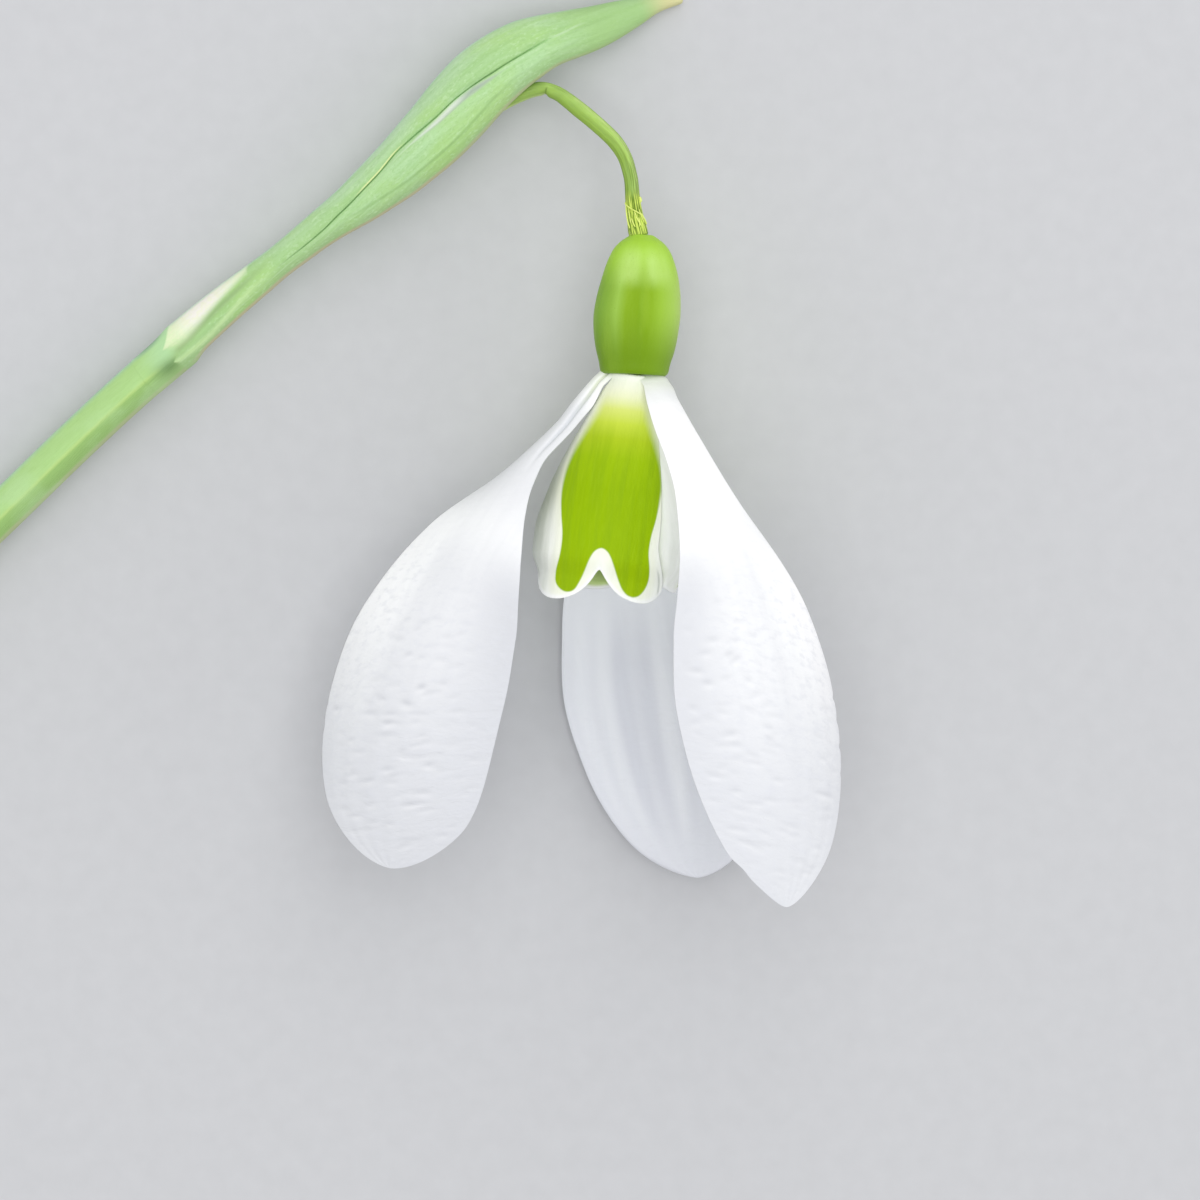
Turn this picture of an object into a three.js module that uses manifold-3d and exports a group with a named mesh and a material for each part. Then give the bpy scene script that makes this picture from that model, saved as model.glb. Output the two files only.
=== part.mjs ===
// Snowdrop bloom of a green-marked garden form, picked with its stem and laid on a flat surface.
//
// The flower is drawn in its own plane first: x to the right, y up towards the stem's arch, z towards
// the viewer, with z = 0 at the middle of the ovary and the inner cup. The whole flower is then leaned
// back until it lies on three low points: the cut end of the stem, the back of one outer tepal, and the
// drooping tip of the spathe.
//
// Millimetres and degrees throughout, +Z up, origin under the middle of the part.

import * as THREE from "three";
import { mergeVertices } from "three/addons/utils/BufferGeometryUtils.js";
import Module from "manifold-3d";

const wasm = await Module();
wasm.setup();

// Driving dimensions
const LEAN = -10; // turn about x that lays the drawn flower on the surface
const SEAT_GAP = 0.3; // air between two pieces that meet
const BLADE = 0.6; // thickness of every tepal

const OVARY_TOP = [2.0, 18.25, 0];
const OVARY_FOOT = [1.7, 11.25, 0];
const OVARY_STATIONS = [0, 0.05, 0.14, 0.26, 0.4, 0.55, 0.7, 0.82, 0.92, 0.98, 1];
const OVARY_RADII = [0.55, 1.12, 1.56, 1.85, 2.08, 2.19, 2.18, 2.06, 1.86, 1.68, 1.5];
const OVARY_RIBS = 6;
const OVARY_RIB_HEIGHT = 0.035;

const STYLE_RADIUS = 0.2;
const STYLE_LENGTH = 8.2;

const ANTHERS = 6;
const ANTHER_RADIUS = 0.4;
const ANTHER_FOOT = 1.5;
const ANTHER_TIP = 7;
const ANTHER_RING = 1.0;
const ANTHER_TIP_LEAN = 0.72; // the tips lean in towards the style by this share of the ring
const FILAMENT_RADIUS = 0.16;
const STAMEN_RING_INNER = 0.36;
const STAMEN_RING_OUTER = 0.68;
const STAMEN_RING_HEIGHT = 0.4;

// The inner cup hangs a little to the left of the ovary's own axis.
const CUP_FOOT = [1.6, 11.2, 0];
const CUP_TILT = 7;
const CUP_STATIONS = [0.3, 1.1, 2.5, 3.9, 6.2, 8.2, 9.2, 10.4, 11.5];
const CUP_RADII = [1.45, 1.7, 2.2, 2.72, 3.42, 3.88, 3.92, 3.55, 3.65];
const CUP_LEFT_EDGE = [-30, -48, -64, -70, -70, -70, -67, -60, -57];
const CUP_RIGHT_EDGE = [20, 32, 40, 44, 44, 44, 46, 53, 55];
const CUP_DEPTH = 11.5; // from the ovary to the lowest part of a lobe
const NOTCH_DEPTH = 1.95;
const NOTCH_WIDTH = 0.2; // as a share of half the tepal
const COLUMN_CROWDING = 1.3; // brings the tepal's columns closer together by the notch
const LOBE_ROUNDING = 0.85; // how far the rim rises again towards its corners

const INNER_TEPALS = [
  { name: "inner_tepal_front", azimuth: -7 },
  { name: "inner_tepal_right", azimuth: 113 },
  { name: "inner_tepal_left", azimuth: -127 },
];

// Azimuths are turns about the flower's axis, from the viewer's side towards the right.
// spread, sway and halfWidths run from the claw to the tip; turn is a twist of the blade on its midrib.
const TEPAL_AXIS_TILT = 4;
const TEPAL_ROOT_RADIUS = 1.7;
const CLAW_RADIUS = 0.9; // of its channel
const CLAW_END = 0.45; // share of the length where the claw has opened into the blade
const TURN_END = 0.6; // share of the length where the twist is complete
const TIP_HALF_WIDTH = 0.3;
const WIDTH_STATIONS = [0, 0.1, 0.22, 0.36, 0.5, 0.64, 0.78, 0.9, 1];
const OUTER_TEPALS = [
  {
    name: "outer_tepal_right",
    azimuth: 42,
    length: 28.6,
    spread: [56, 17, -5],
    sway: [10, -9.5, -5],
    turn: [-15, -9],
    cupRadius: 7.7,
    halfWidths: [0.6, 1.2, 1.7, 2.9, 4.6, 5.5, 5.7, 5.7, 4.2],
    tipPower: 5,
    tipFullness: 0.63,
  },
  {
    name: "outer_tepal_left",
    azimuth: -78,
    length: 28,
    spread: [44, 19, -12.5],
    sway: [2.5, 5, 21],
    turn: [20, 51.5],
    cupRadius: 9,
    halfWidths: [0.6, 1.05, 1.3, 3.1, 4.5, 5.2, 5.4, 5.4, 4.5],
    tipPower: 10.5,
    tipFullness: 0.6,
  },
  {
    name: "outer_tepal_back",
    azimuth: 162,
    length: 27.8,
    spread: [48, 19, -1],
    sway: [-15, 7.5, 8],
    turn: [0, 0],
    cupRadius: 7.1,
    halfWidths: [0.6, 0.75, 1.3, 3.9, 5.4, 6.0, 5.6, 5.1, 4.9],
    tipPower: 10.7,
    tipFullness: 0.67,
  },
];

// Routes are lists of points that the middle of the piece passes through.
const SCAPE_ROUTE = [
  [-63.6, -26.4, -12.75], [-55.5, -18.8, -10.95], [-47.2, -11, -9.25], [-38.8, -3.3, -7.75],
  [-30.6, 4.4, -6.35], [-26.7, 8.1, -5.65], [-23.6, 10.9, -5.0], [-21.3, 12.8, -4.5],
];
const SCAPE_RADIUS = 1.03;
const SCAPE_RIDGE = 0.045;
const SCAPE_RIDGE_ANGLE = 78;

const SPATHE_ROUTE = [
  [-21.1, 12.97, -4.45], [-18.7, 15.1, -4.1], [-16.6, 16.8, -3.7], [-15, 18, -3.2], [-13.5, 19.2, -2.7],
  [-12.2, 20.2, -2.3], [-10.5, 21.7, -1.9], [-9.2, 22.9, -1.6], [-7.5, 24.4, -1.3], [-5.9, 25.8, -1.1],
  [-4.4, 26.9, -1.1], [-2.85, 27.75, -1.3], [-1.5, 28.25, -1.7], [0, 28.75, -2.2], [1.6, 29.4, -2.7],
  [3.0, 30.0, -3.2], [4.15, 30.3, -3.53],
];
const SPATHE_WIDTHS = [
  2.0, 1.9, 1.75, 1.62, 1.75, 2.1, 2.85, 3.35, 3.65, 3.8, 3.6, 3.0, 2.5, 2.0, 1.5, 0.95, 0.5,
];
const SPATHE_DEPTHS = [1.9, 1.9, 1.9, 1.9, 2.0, 2.1, 2.5, 2.8, 3.0, 2.9, 2.6, 2.1, 1.8, 1.5, 1.2, 0.9, 0.6];
const SPATHE_GROOVE = 0.3; // share of the depth lost where the two valves meet
const SPATHE_GROOVE_PLACE = -0.12; // of the width, towards the upper edge
const SPATHE_GROOVE_WIDTH = 0.13; // of the width
const SPATHE_OPENS_AT = 1.6; // narrowest width, below which the valves show no groove

const PEDICEL_ROUTE = [
  [-9.4, 22.0, -2.4], [-7.6, 23.3, -2.2], [-5.8, 24.5, -2.0], [-4.2, 25.35, -1.8], [-3.0, 25.65, -1.6],
  [-2.25, 25.4, -1.4], [-1.6, 24.9, -1.2], [-1.0, 24.4, -1.0], [-0.1, 23.7, -0.7], [0.7, 22.95, -0.5],
  [1.2, 22.15, -0.3], [1.48, 21.2, -0.15], [1.65, 20.2, -0.05], [1.85, 19.1, 0], [1.98, 18.55, 0],
];
const PEDICEL_RADII = [0.4, 0.42, 0.43, 0.44, 0.45, 0.44, 0.42, 0.4, 0.4, 0.38, 0.36, 0.35, 0.38, 0.46, 0.5];

const COLOURS = {
  scape: 0x8fbf62,
  spathe: 0xa3cf8a,
  pedicel: 0x9ac23c,
  ovary: 0x86b92f,
  outer: 0xf4f5f2,
  inner: 0xa6cf2b,
  stamens: 0xe0a02a,
};

const radians = THREE.MathUtils.degToRad;
const vector = (point) => new THREE.Vector3(...point);

function ease(x) {
  const clamped = THREE.MathUtils.clamp(x, 0, 1);
  return clamped * clamped * (3 - 2 * clamped);
}

// Height at x of a smooth line that passes through every station without overshooting much.
function through(stations, values, x) {
  const last = stations.length - 1;
  let i = 0;
  while (i < last - 1 && x > stations[i + 1]) i += 1;
  const slope = (k) => (values[k + 1] - values[k]) / (stations[k + 1] - stations[k]);
  const tangent = (k) => {
    if (k === 0) return slope(0);
    if (k === last) return slope(last - 1);
    const before = slope(k - 1);
    const after = slope(k);
    return before * after <= 0 ? 0 : (2 * before * after) / (before + after);
  };
  const span = stations[i + 1] - stations[i];
  const t = THREE.MathUtils.clamp((x - stations[i]) / span, 0, 1);
  const a = 2 * t ** 3 - 3 * t ** 2 + 1;
  const b = t ** 3 - 2 * t ** 2 + t;
  const c = -2 * t ** 3 + 3 * t ** 2;
  const d = t ** 3 - t ** 2;
  return a * values[i] + b * span * tangent(i) + c * values[i + 1] + d * span * tangent(i + 1);
}

// Value at t of the parabola with the given start, middle and end.
function bend([start, middle, end], t) {
  return start * (1 - t) * (1 - 2 * t) + 4 * middle * t * (1 - t) + end * t * (2 * t - 1);
}

function geometryOf(points, faces) {
  const geometry = new THREE.BufferGeometry();
  const coordinates = points.flatMap((p) => [p.x, p.y, p.z]);
  geometry.setAttribute("position", new THREE.Float32BufferAttribute(coordinates, 3));
  geometry.setIndex(faces.flat());
  return geometry;
}

// Closed skin over a row of rings with equal numbers of points, with a fan over each end.
function skin(rings) {
  const count = rings[0].length;
  const points = rings.flat();
  const faces = [];
  for (let r = 0; r < rings.length - 1; r += 1) {
    for (let i = 0; i < count; i += 1) {
      const a = r * count + i;
      const b = r * count + ((i + 1) % count);
      faces.push([a, b, b + count], [a, b + count, a + count]);
    }
  }
  const centre = (ring) => ring.reduce((sum, p) => sum.add(p), new THREE.Vector3()).divideScalar(count);
  const start = points.push(centre(rings[0])) - 1;
  const end = points.push(centre(rings[rings.length - 1])) - 1;
  const lastRing = (rings.length - 1) * count;
  for (let i = 0; i < count; i += 1) {
    const next = (i + 1) % count;
    faces.push([start, next, i], [end, lastRing + i, lastRing + next]);
  }
  return outward(geometryOf(points, faces));
}

// Closed sheet between two faces that share rows and columns and are split into triangles alike.
function sheet(outer, inner) {
  const rows = outer.length;
  const columns = outer[0].length;
  const points = [...outer.flat(), ...inner.flat()];
  const top = (r, c) => r * columns + c;
  const under = (r, c) => rows * columns + top(r, c);
  const faces = [];
  for (let r = 0; r < rows - 1; r += 1) {
    for (let c = 0; c < columns - 1; c += 1) {
      faces.push([top(r, c), top(r, c + 1), top(r + 1, c + 1)]);
      faces.push([top(r, c), top(r + 1, c + 1), top(r + 1, c)]);
      faces.push([under(r, c), under(r + 1, c + 1), under(r, c + 1)]);
      faces.push([under(r, c), under(r + 1, c), under(r + 1, c + 1)]);
    }
  }
  const wall = (r0, c0, r1, c1) => {
    faces.push([top(r0, c0), under(r0, c0), under(r1, c1)], [top(r0, c0), under(r1, c1), top(r1, c1)]);
  };
  for (let r = 0; r < rows - 1; r += 1) {
    wall(r + 1, 0, r, 0);
    wall(r, columns - 1, r + 1, columns - 1);
  }
  for (let c = 0; c < columns - 1; c += 1) {
    wall(0, c, 0, c + 1);
    wall(rows - 1, c + 1, rows - 1, c);
  }
  return outward(geometryOf(points, faces));
}

function volumeOf(geometry) {
  const position = geometry.attributes.position;
  const index = geometry.index;
  const [a, b, c] = [new THREE.Vector3(), new THREE.Vector3(), new THREE.Vector3()];
  let volume = 0;
  for (let i = 0; i < index.count; i += 3) {
    a.fromBufferAttribute(position, index.getX(i));
    b.fromBufferAttribute(position, index.getX(i + 1));
    c.fromBufferAttribute(position, index.getX(i + 2));
    volume += a.dot(b.clone().cross(c)) / 6;
  }
  return volume;
}

// The same geometry with its faces turned to point out.
function outward(geometry) {
  if (volumeOf(geometry) < 0) {
    const index = geometry.index;
    for (let i = 0; i < index.count; i += 3) {
      const kept = index.getX(i + 1);
      index.setX(i + 1, index.getX(i + 2));
      index.setX(i + 2, kept);
    }
  }
  return geometry;
}

function solidOf(geometry) {
  const bare = new THREE.BufferGeometry();
  bare.setAttribute("position", geometry.attributes.position);
  bare.setIndex(geometry.index);
  const merged = mergeVertices(bare, 1e-4);
  return new wasm.Manifold(new wasm.Mesh({
    numProp: 3,
    vertProperties: new Float32Array(merged.attributes.position.array),
    triVerts: new Uint32Array(merged.index.array),
  }));
}

function geometryFrom(solid) {
  const mesh = solid.getMesh();
  const geometry = new THREE.BufferGeometry();
  geometry.setAttribute("position", new THREE.BufferAttribute(new Float32Array(mesh.vertProperties), 3));
  geometry.setIndex(new THREE.BufferAttribute(new Uint32Array(mesh.triVerts), 1));
  return geometry;
}

const joined = (geometries) => geometryFrom(geometries.map(solidOf).reduce((all, next) => all.add(next)));

// Points, side and front directions at even steps along a smooth route in the flower's plane.
function follow(route, steps) {
  const curve = new THREE.CatmullRomCurve3(route.map(vector), false, "centripetal");
  const viewer = new THREE.Vector3(0, 0, 1);
  return Array.from({ length: steps + 1 }, (_, i) => {
    const share = i / steps;
    const tangent = curve.getTangentAt(share);
    const side = tangent.clone().cross(viewer).normalize();
    const front = side.clone().cross(tangent).normalize();
    return { share: curve.getUtoTmapping(share), point: curve.getPointAt(share), side, front };
  });
}

// Rings of a given section along a route; the section gives [side, front] offsets for a share of the way.
function rail(route, steps, section) {
  return follow(route, steps).map(({ share, point, side, front }) =>
    section(share).map(([a, b]) => point.clone().addScaledVector(side, a).addScaledVector(front, b)));
}

const evenStations = (values) => values.map((_, i) => i / (values.length - 1));

function roundSection(radius, sides, profile = () => 1) {
  return Array.from({ length: sides }, (_, i) => {
    const angle = (2 * Math.PI * i) / sides;
    const r = radius * profile(angle);
    return [r * Math.cos(angle), r * Math.sin(angle)];
  });
}

function scape() {
  const ridged = (angle) => 1 + SCAPE_RIDGE * Math.cos(4 * (angle - radians(SCAPE_RIDGE_ANGLE)));
  return skin(rail(SCAPE_ROUTE, 22, () => roundSection(SCAPE_RADIUS, 16, ridged)));
}

// Two joined valves: a lens in section, pinched where the membrane joins them.
function spatheSection(width, depth) {
  const sides = 22;
  return Array.from({ length: sides }, (_, i) => {
    const angle = (2 * Math.PI * (i + 0.5)) / sides;
    const across = Math.cos(angle) * 0.5;
    const fromGroove = (across - SPATHE_GROOVE_PLACE) / SPATHE_GROOVE_WIDTH;
    const opened = THREE.MathUtils.clamp(width - SPATHE_OPENS_AT, 0, 1);
    const pinch = 1 - SPATHE_GROOVE * opened * Math.exp(-fromGroove * fromGroove);
    return [across * width, 0.5 * depth * Math.sin(angle) * pinch];
  });
}

function spathe() {
  const stations = evenStations(SPATHE_WIDTHS);
  const body = skin(rail(SPATHE_ROUTE, 30, (share) =>
    spatheSection(through(stations, SPATHE_WIDTHS, share), through(stations, SPATHE_DEPTHS, share))));
  const channel = skin(pedicelRings(SEAT_GAP, 30, 10));
  return geometryFrom(solidOf(body).subtract(solidOf(channel)));
}

function pedicelRings(clearance, steps, sides) {
  const stations = evenStations(PEDICEL_RADII);
  const rings = rail(PEDICEL_ROUTE, steps, (share) =>
    roundSection(through(stations, PEDICEL_RADII, share) + clearance, sides));
  const start = vector(PEDICEL_ROUTE[0]);
  const away = start.clone().sub(vector(PEDICEL_ROUTE[1])).setLength(clearance);
  rings[0].forEach((p) => p.add(away));
  return rings;
}

// Frame of a straight axis: its foot, its downward direction, and directions to the viewer and the right.
function axisFrame(foot, down) {
  const viewer = new THREE.Vector3(0, 0, 1);
  const front = viewer.clone().addScaledVector(down, -down.dot(viewer)).normalize();
  const right = front.clone().cross(down).normalize();
  return {
    down,
    outwardAt: (azimuth) => front.clone().multiplyScalar(Math.cos(radians(azimuth)))
      .addScaledVector(right, Math.sin(radians(azimuth))),
    place(distance, azimuth, radius) {
      return vector(foot).addScaledVector(down, distance).addScaledVector(this.outwardAt(azimuth), radius);
    },
  };
}

const leaningDown = (tilt) => new THREE.Vector3(-Math.sin(radians(tilt)), -Math.cos(radians(tilt)), 0);
const ovaryAxis = axisFrame(OVARY_FOOT, vector(OVARY_FOOT).sub(vector(OVARY_TOP)).normalize());
const cupAxis = axisFrame(CUP_FOOT, leaningDown(CUP_TILT));
const tepalAxis = axisFrame(OVARY_FOOT, leaningDown(TEPAL_AXIS_TILT));

function ringAround(frame, distance, radius, sides, profile = () => 1) {
  return Array.from({ length: sides }, (_, i) => {
    const azimuth = (360 * i) / sides;
    return frame.place(distance, azimuth, radius * profile(azimuth));
  });
}

// The ovary swells between six faint ribs and carries the style under its flat end.
function ovary() {
  const length = vector(OVARY_TOP).distanceTo(vector(OVARY_FOOT));
  const ribbed = (azimuth) => 1 + OVARY_RIB_HEIGHT * Math.cos(radians(OVARY_RIBS * azimuth)) / 2;
  const rings = [];
  const steps = 15;
  for (let i = 0; i <= steps; i += 1) {
    const share = i / steps;
    const radius = through(OVARY_STATIONS, OVARY_RADII, share);
    rings.push(ringAround(ovaryAxis, (share - 1) * length, radius, 24, ribbed));
  }
  const style = [[-0.5, 1], [STYLE_LENGTH * 0.5, 1], [STYLE_LENGTH * 0.94, 1], [STYLE_LENGTH, 0.5]]
    .map(([distance, fullness]) => ringAround(cupAxis, distance, STYLE_RADIUS * fullness, 8));
  return joined([skin(rings), skin(style)]);
}

function anther(azimuth) {
  const stations = [0, 0.12, 0.5, 0.8, 1];
  const fullness = [0.45, 0.95, 1, 0.7, 0.12];
  const rings = stations.map((share, k) => {
    const distance = THREE.MathUtils.lerp(ANTHER_FOOT, ANTHER_TIP, share);
    const fromAxis = THREE.MathUtils.lerp(ANTHER_RING, ANTHER_RING * ANTHER_TIP_LEAN, share);
    const middle = cupAxis.place(distance, azimuth, fromAxis);
    return roundSection(ANTHER_RADIUS * fullness[k], 8).map(([a, b]) => middle.clone()
      .addScaledVector(cupAxis.outwardAt(azimuth), a)
      .addScaledVector(cupAxis.outwardAt(azimuth + 90), b));
  });
  return skin(rings);
}

function filament(azimuth) {
  const inRing = (STAMEN_RING_INNER + STAMEN_RING_OUTER) / 2;
  const path = [[SEAT_GAP + 0.15, inRing], [1.1, ANTHER_RING * 0.85], [ANTHER_FOOT + 0.3, ANTHER_RING]];
  return skin(path.map(([distance, radius]) => {
    const middle = cupAxis.place(distance, azimuth, radius);
    return roundSection(FILAMENT_RADIUS, 6).map(([a, b]) => middle.clone()
      .addScaledVector(cupAxis.outwardAt(azimuth), a)
      .addScaledVector(cupAxis.outwardAt(azimuth + 90), b));
  }));
}

// Six pointed anthers on short filaments, which grow from one ring round the style.
function stamens() {
  const ringSolid = (radius, top, foot) =>
    solidOf(skin([ringAround(cupAxis, top, radius, 24), ringAround(cupAxis, foot, radius, 24)]));
  const foot = SEAT_GAP + STAMEN_RING_HEIGHT;
  let solid = ringSolid(STAMEN_RING_OUTER, SEAT_GAP, foot);
  solid = solid.subtract(ringSolid(STAMEN_RING_INNER, SEAT_GAP - 1, foot + 1));
  for (let i = 0; i < ANTHERS; i += 1) {
    const azimuth = (360 * (i + 0.5)) / ANTHERS;
    solid = solid.add(solidOf(filament(azimuth))).add(solidOf(anther(azimuth)));
  }
  return geometryFrom(solid);
}

// How far down the cup the tepal's rim lies at v, from -1 at its left edge to 1 at its right.
function rimDepth(v) {
  const notch = NOTCH_DEPTH * Math.exp(-Math.abs(v) / NOTCH_WIDTH);
  return CUP_DEPTH - notch - LOBE_ROUNDING * Math.abs(v) ** 8;
}

function innerTepal({ azimuth }) {
  const rows = 14;
  const columns = 20;
  const outer = [];
  const inner = [];
  for (let r = 0; r <= rows; r += 1) {
    outer.push([]);
    inner.push([]);
    for (let c = 0; c <= columns; c += 1) {
      const even = (2 * c) / columns - 1;
      const v = Math.sign(even) * Math.abs(even) ** COLUMN_CROWDING;
      const distance = THREE.MathUtils.lerp(CUP_STATIONS[0], rimDepth(v), r / rows);
      const edge = through(CUP_STATIONS, v < 0 ? CUP_LEFT_EDGE : CUP_RIGHT_EDGE, distance);
      const angle = azimuth + edge * Math.abs(v);
      const radius = through(CUP_STATIONS, CUP_RADII, distance);
      outer[r].push(cupAxis.place(distance, angle, radius));
      inner[r].push(cupAxis.place(distance, angle, radius - BLADE));
    }
  }
  return sheet(outer, inner);
}

// Midrib of an outer tepal: points with the directions across the blade and out of its back.
function midrib(tepal, steps) {
  const out = tepalAxis.outwardAt(tepal.azimuth);
  const across = tepalAxis.down.clone().cross(out);
  const frames = [];
  const point = tepalAxis.place(SEAT_GAP, tepal.azimuth, TEPAL_ROOT_RADIUS);
  for (let i = 0; i <= steps; i += 1) {
    const t = i / steps;
    const spread = radians(bend(tepal.spread, t));
    const sway = radians(bend(tepal.sway, t));
    const tangent = tepalAxis.down.clone().multiplyScalar(Math.cos(spread) * Math.cos(sway))
      .addScaledVector(out, Math.sin(spread) * Math.cos(sway))
      .addScaledVector(across, Math.sin(sway));
    if (i > 0) point.addScaledVector(tangent, tepal.length / steps);
    const side = across.clone().addScaledVector(tangent, -tangent.dot(across)).normalize();
    const back = side.clone().cross(tangent).negate();
    if (back.dot(out) < 0) back.negate();
    const turn = radians(THREE.MathUtils.lerp(tepal.turn[0], tepal.turn[1], ease(t / TURN_END)));
    frames.push({
      point: point.clone(),
      side: side.clone().multiplyScalar(Math.cos(turn)).addScaledVector(back, Math.sin(turn)),
      back: back.clone().multiplyScalar(Math.cos(turn)).addScaledVector(side, -Math.sin(turn)),
    });
  }
  return frames;
}

function halfWidth(tepal, t) {
  const taper = Math.max(1 - t ** tepal.tipPower, 0) ** tepal.tipFullness;
  return Math.max(through(WIDTH_STATIONS, tepal.halfWidths, t) * taper, TIP_HALF_WIDTH);
}

// A spoon: a channelled claw that opens into a cupped blade, drawn on its back and thickened inwards.
function outerTepal(tepal) {
  const rows = 28;
  const columns = 12;
  const fine = 400;
  const frames = midrib(tepal, fine);
  const outer = [];
  const inner = [];
  for (let r = 0; r <= rows; r += 1) {
    const t = 1 - (1 - r / rows) ** 1.5;
    const frame = frames[Math.round(t * fine)];
    const curl = THREE.MathUtils.lerp(1 / CLAW_RADIUS, 1 / tepal.cupRadius, ease(t / CLAW_END));
    const reach = halfWidth(tepal, t);
    const place = (angle, radius) => frame.point.clone()
      .addScaledVector(frame.side, radius * Math.sin(angle))
      .addScaledVector(frame.back, radius * Math.cos(angle) - 1 / curl);
    const angles = Array.from({ length: columns + 1 }, (_, c) => ((2 * c) / columns - 1) * reach * curl);
    outer.push(angles.map((angle) => place(angle, 1 / curl)));
    inner.push(angles.map((angle) => place(angle, 1 / curl - BLADE)));
  }
  return sheet(outer, inner);
}

function material(colour, roughness) {
  return new THREE.MeshStandardMaterial({ color: colour, roughness, metalness: 0 });
}

function piece(name, geometry, finish) {
  geometry.computeVertexNormals();
  const mesh = new THREE.Mesh(geometry, finish);
  mesh.name = name;
  return mesh;
}

const flower = new THREE.Group();
flower.add(piece("scape", scape(), material(COLOURS.scape, 0.5)));
flower.add(piece("spathe", spathe(), material(COLOURS.spathe, 0.55)));
flower.add(piece("pedicel", skin(pedicelRings(0, 30, 10)), material(COLOURS.pedicel, 0.5)));
flower.add(piece("ovary", ovary(), material(COLOURS.ovary, 0.4)));
flower.add(piece("stamens", stamens(), material(COLOURS.stamens, 0.6)));
for (const tepal of INNER_TEPALS) {
  flower.add(piece(tepal.name, innerTepal(tepal), material(COLOURS.inner, 0.45)));
}
for (const tepal of OUTER_TEPALS) {
  flower.add(piece(tepal.name, outerTepal(tepal), material(COLOURS.outer, 0.5)));
}
flower.rotation.x = radians(LEAN);

// The part stands on z = 0, centred under its box.
const part = new THREE.Group();
part.add(flower);
part.updateMatrixWorld(true);
const box = new THREE.Box3().setFromObject(part, true);
flower.position.set(-(box.min.x + box.max.x) / 2, -(box.min.y + box.max.y) / 2, -box.min.z);

export default part;
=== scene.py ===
import math

import bpy
import numpy as np
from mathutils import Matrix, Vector


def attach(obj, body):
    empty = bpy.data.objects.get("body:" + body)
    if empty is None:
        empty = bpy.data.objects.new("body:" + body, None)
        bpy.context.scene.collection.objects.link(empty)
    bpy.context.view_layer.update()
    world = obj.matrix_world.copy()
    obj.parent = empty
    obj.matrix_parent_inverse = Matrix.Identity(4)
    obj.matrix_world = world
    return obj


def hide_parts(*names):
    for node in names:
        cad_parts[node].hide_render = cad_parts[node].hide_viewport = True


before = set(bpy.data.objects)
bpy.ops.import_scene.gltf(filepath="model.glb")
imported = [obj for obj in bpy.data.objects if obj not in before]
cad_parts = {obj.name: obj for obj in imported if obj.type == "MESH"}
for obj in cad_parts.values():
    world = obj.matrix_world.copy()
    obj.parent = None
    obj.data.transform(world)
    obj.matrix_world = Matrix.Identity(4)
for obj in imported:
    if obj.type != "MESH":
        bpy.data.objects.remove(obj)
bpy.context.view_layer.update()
bpy.ops.object.select_all(action="DESELECT")


# The surface, the light and the camera.
# The picked flower lies on a plain pale table under soft daylight from above its stem's arch. The
# camera looks down on it squarely, from the side that showed the bloom hanging.

LEAN = math.radians(-10)
LAID_AT = (26.193, -0.249, 9.024)
CAMERA_HEIGHT = 300
CAMERA_HALF_VIEW = 30


def laid(points):
    """Points of the flower's own upright plane, in millimetres, as points where it lies, in metres."""
    x, y, z = np.moveaxis(np.asarray(points, float), -1, 0)
    back = y * math.cos(LEAN) - z * math.sin(LEAN)
    up = y * math.sin(LEAN) + z * math.cos(LEAN)
    return (np.stack([x, back, up], -1) + LAID_AT) / 1000


def daylight(hex_colour):
    """A colour as it looks, in six hex digits, as the amounts of light that a material needs."""
    parts = [int(hex_colour[i : i + 2], 16) / 255 for i in (0, 2, 4)]
    return [p / 12.92 if p <= 0.04045 else ((p + 0.055) / 1.055) ** 2.4 for p in parts] + [1]


def feed(socket, value):
    """Links another node's output to the socket, or sets the socket to a value."""
    if isinstance(value, bpy.types.NodeSocket):
        tree.links.new(value, socket)
    else:
        socket.default_value = value


def node(kind, settings=None, **inputs):
    """Adds a node to the material in hand. Inputs go by name, with _ for a space, or by number, as n0."""
    made = tree.nodes.new("ShaderNode" + kind)
    for name, value in (settings or {}).items():
        setattr(made, name, value)
    for name, value in inputs.items():
        numbered = name[0] == "n" and name[1:].isdigit()
        feed(made.inputs[int(name[1:]) if numbered else name.replace("_", " ")], value)
    return made.outputs[0]


def graded(value, *stops):
    """A row of colours along a value from 0 to 1, from places in order and the colour at each."""
    row = node("ValToRGB", Fac=value)
    ramp = tree.nodes[-1].color_ramp
    for end, (place, colour) in ((0, stops[0]), (1, stops[-1])):
        ramp.elements[end].position, ramp.elements[end].color = place, daylight(colour)
    for place, colour in stops[1:-1]:
        ramp.elements.new(place).color = daylight(colour)
    return row


def new_skin(name, gloss):
    """A new material, its node tree and its surface shader, with this much gloss all over."""
    material = bpy.data.materials.new(name)
    material.use_nodes = True
    surface = next(n for n in material.node_tree.nodes if n.type == "BSDF_PRINCIPLED")
    surface.inputs["Specular IOR Level"].default_value = gloss
    return material, material.node_tree, surface


TABLE_SIZE = 3.0

bpy.ops.mesh.primitive_plane_add(size=TABLE_SIZE)
table = bpy.context.object
table.name = "table_top"
table_paint, tree, shader = new_skin("table_top_paint", 0.2)
shader.inputs["Roughness"].default_value = 0.8
node("TexCoord")
speckle = node("TexNoise", Vector=tree.nodes[-1].outputs["Object"], Scale=900, Detail=3)
tree.links.new(graded(speckle, (0, "c3c4c6"), (1, "cacbcd")), shader.inputs["Base Color"])
table.data.materials.append(table_paint)

room = bpy.data.worlds.new("soft_room")
room.use_nodes = True
bpy.context.scene.world = room
room_light = room.node_tree.nodes["Background"]
room_light.inputs["Color"].default_value = (0.975, 0.975, 1.0, 1)
room_light.inputs["Strength"].default_value = 0.6


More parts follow.
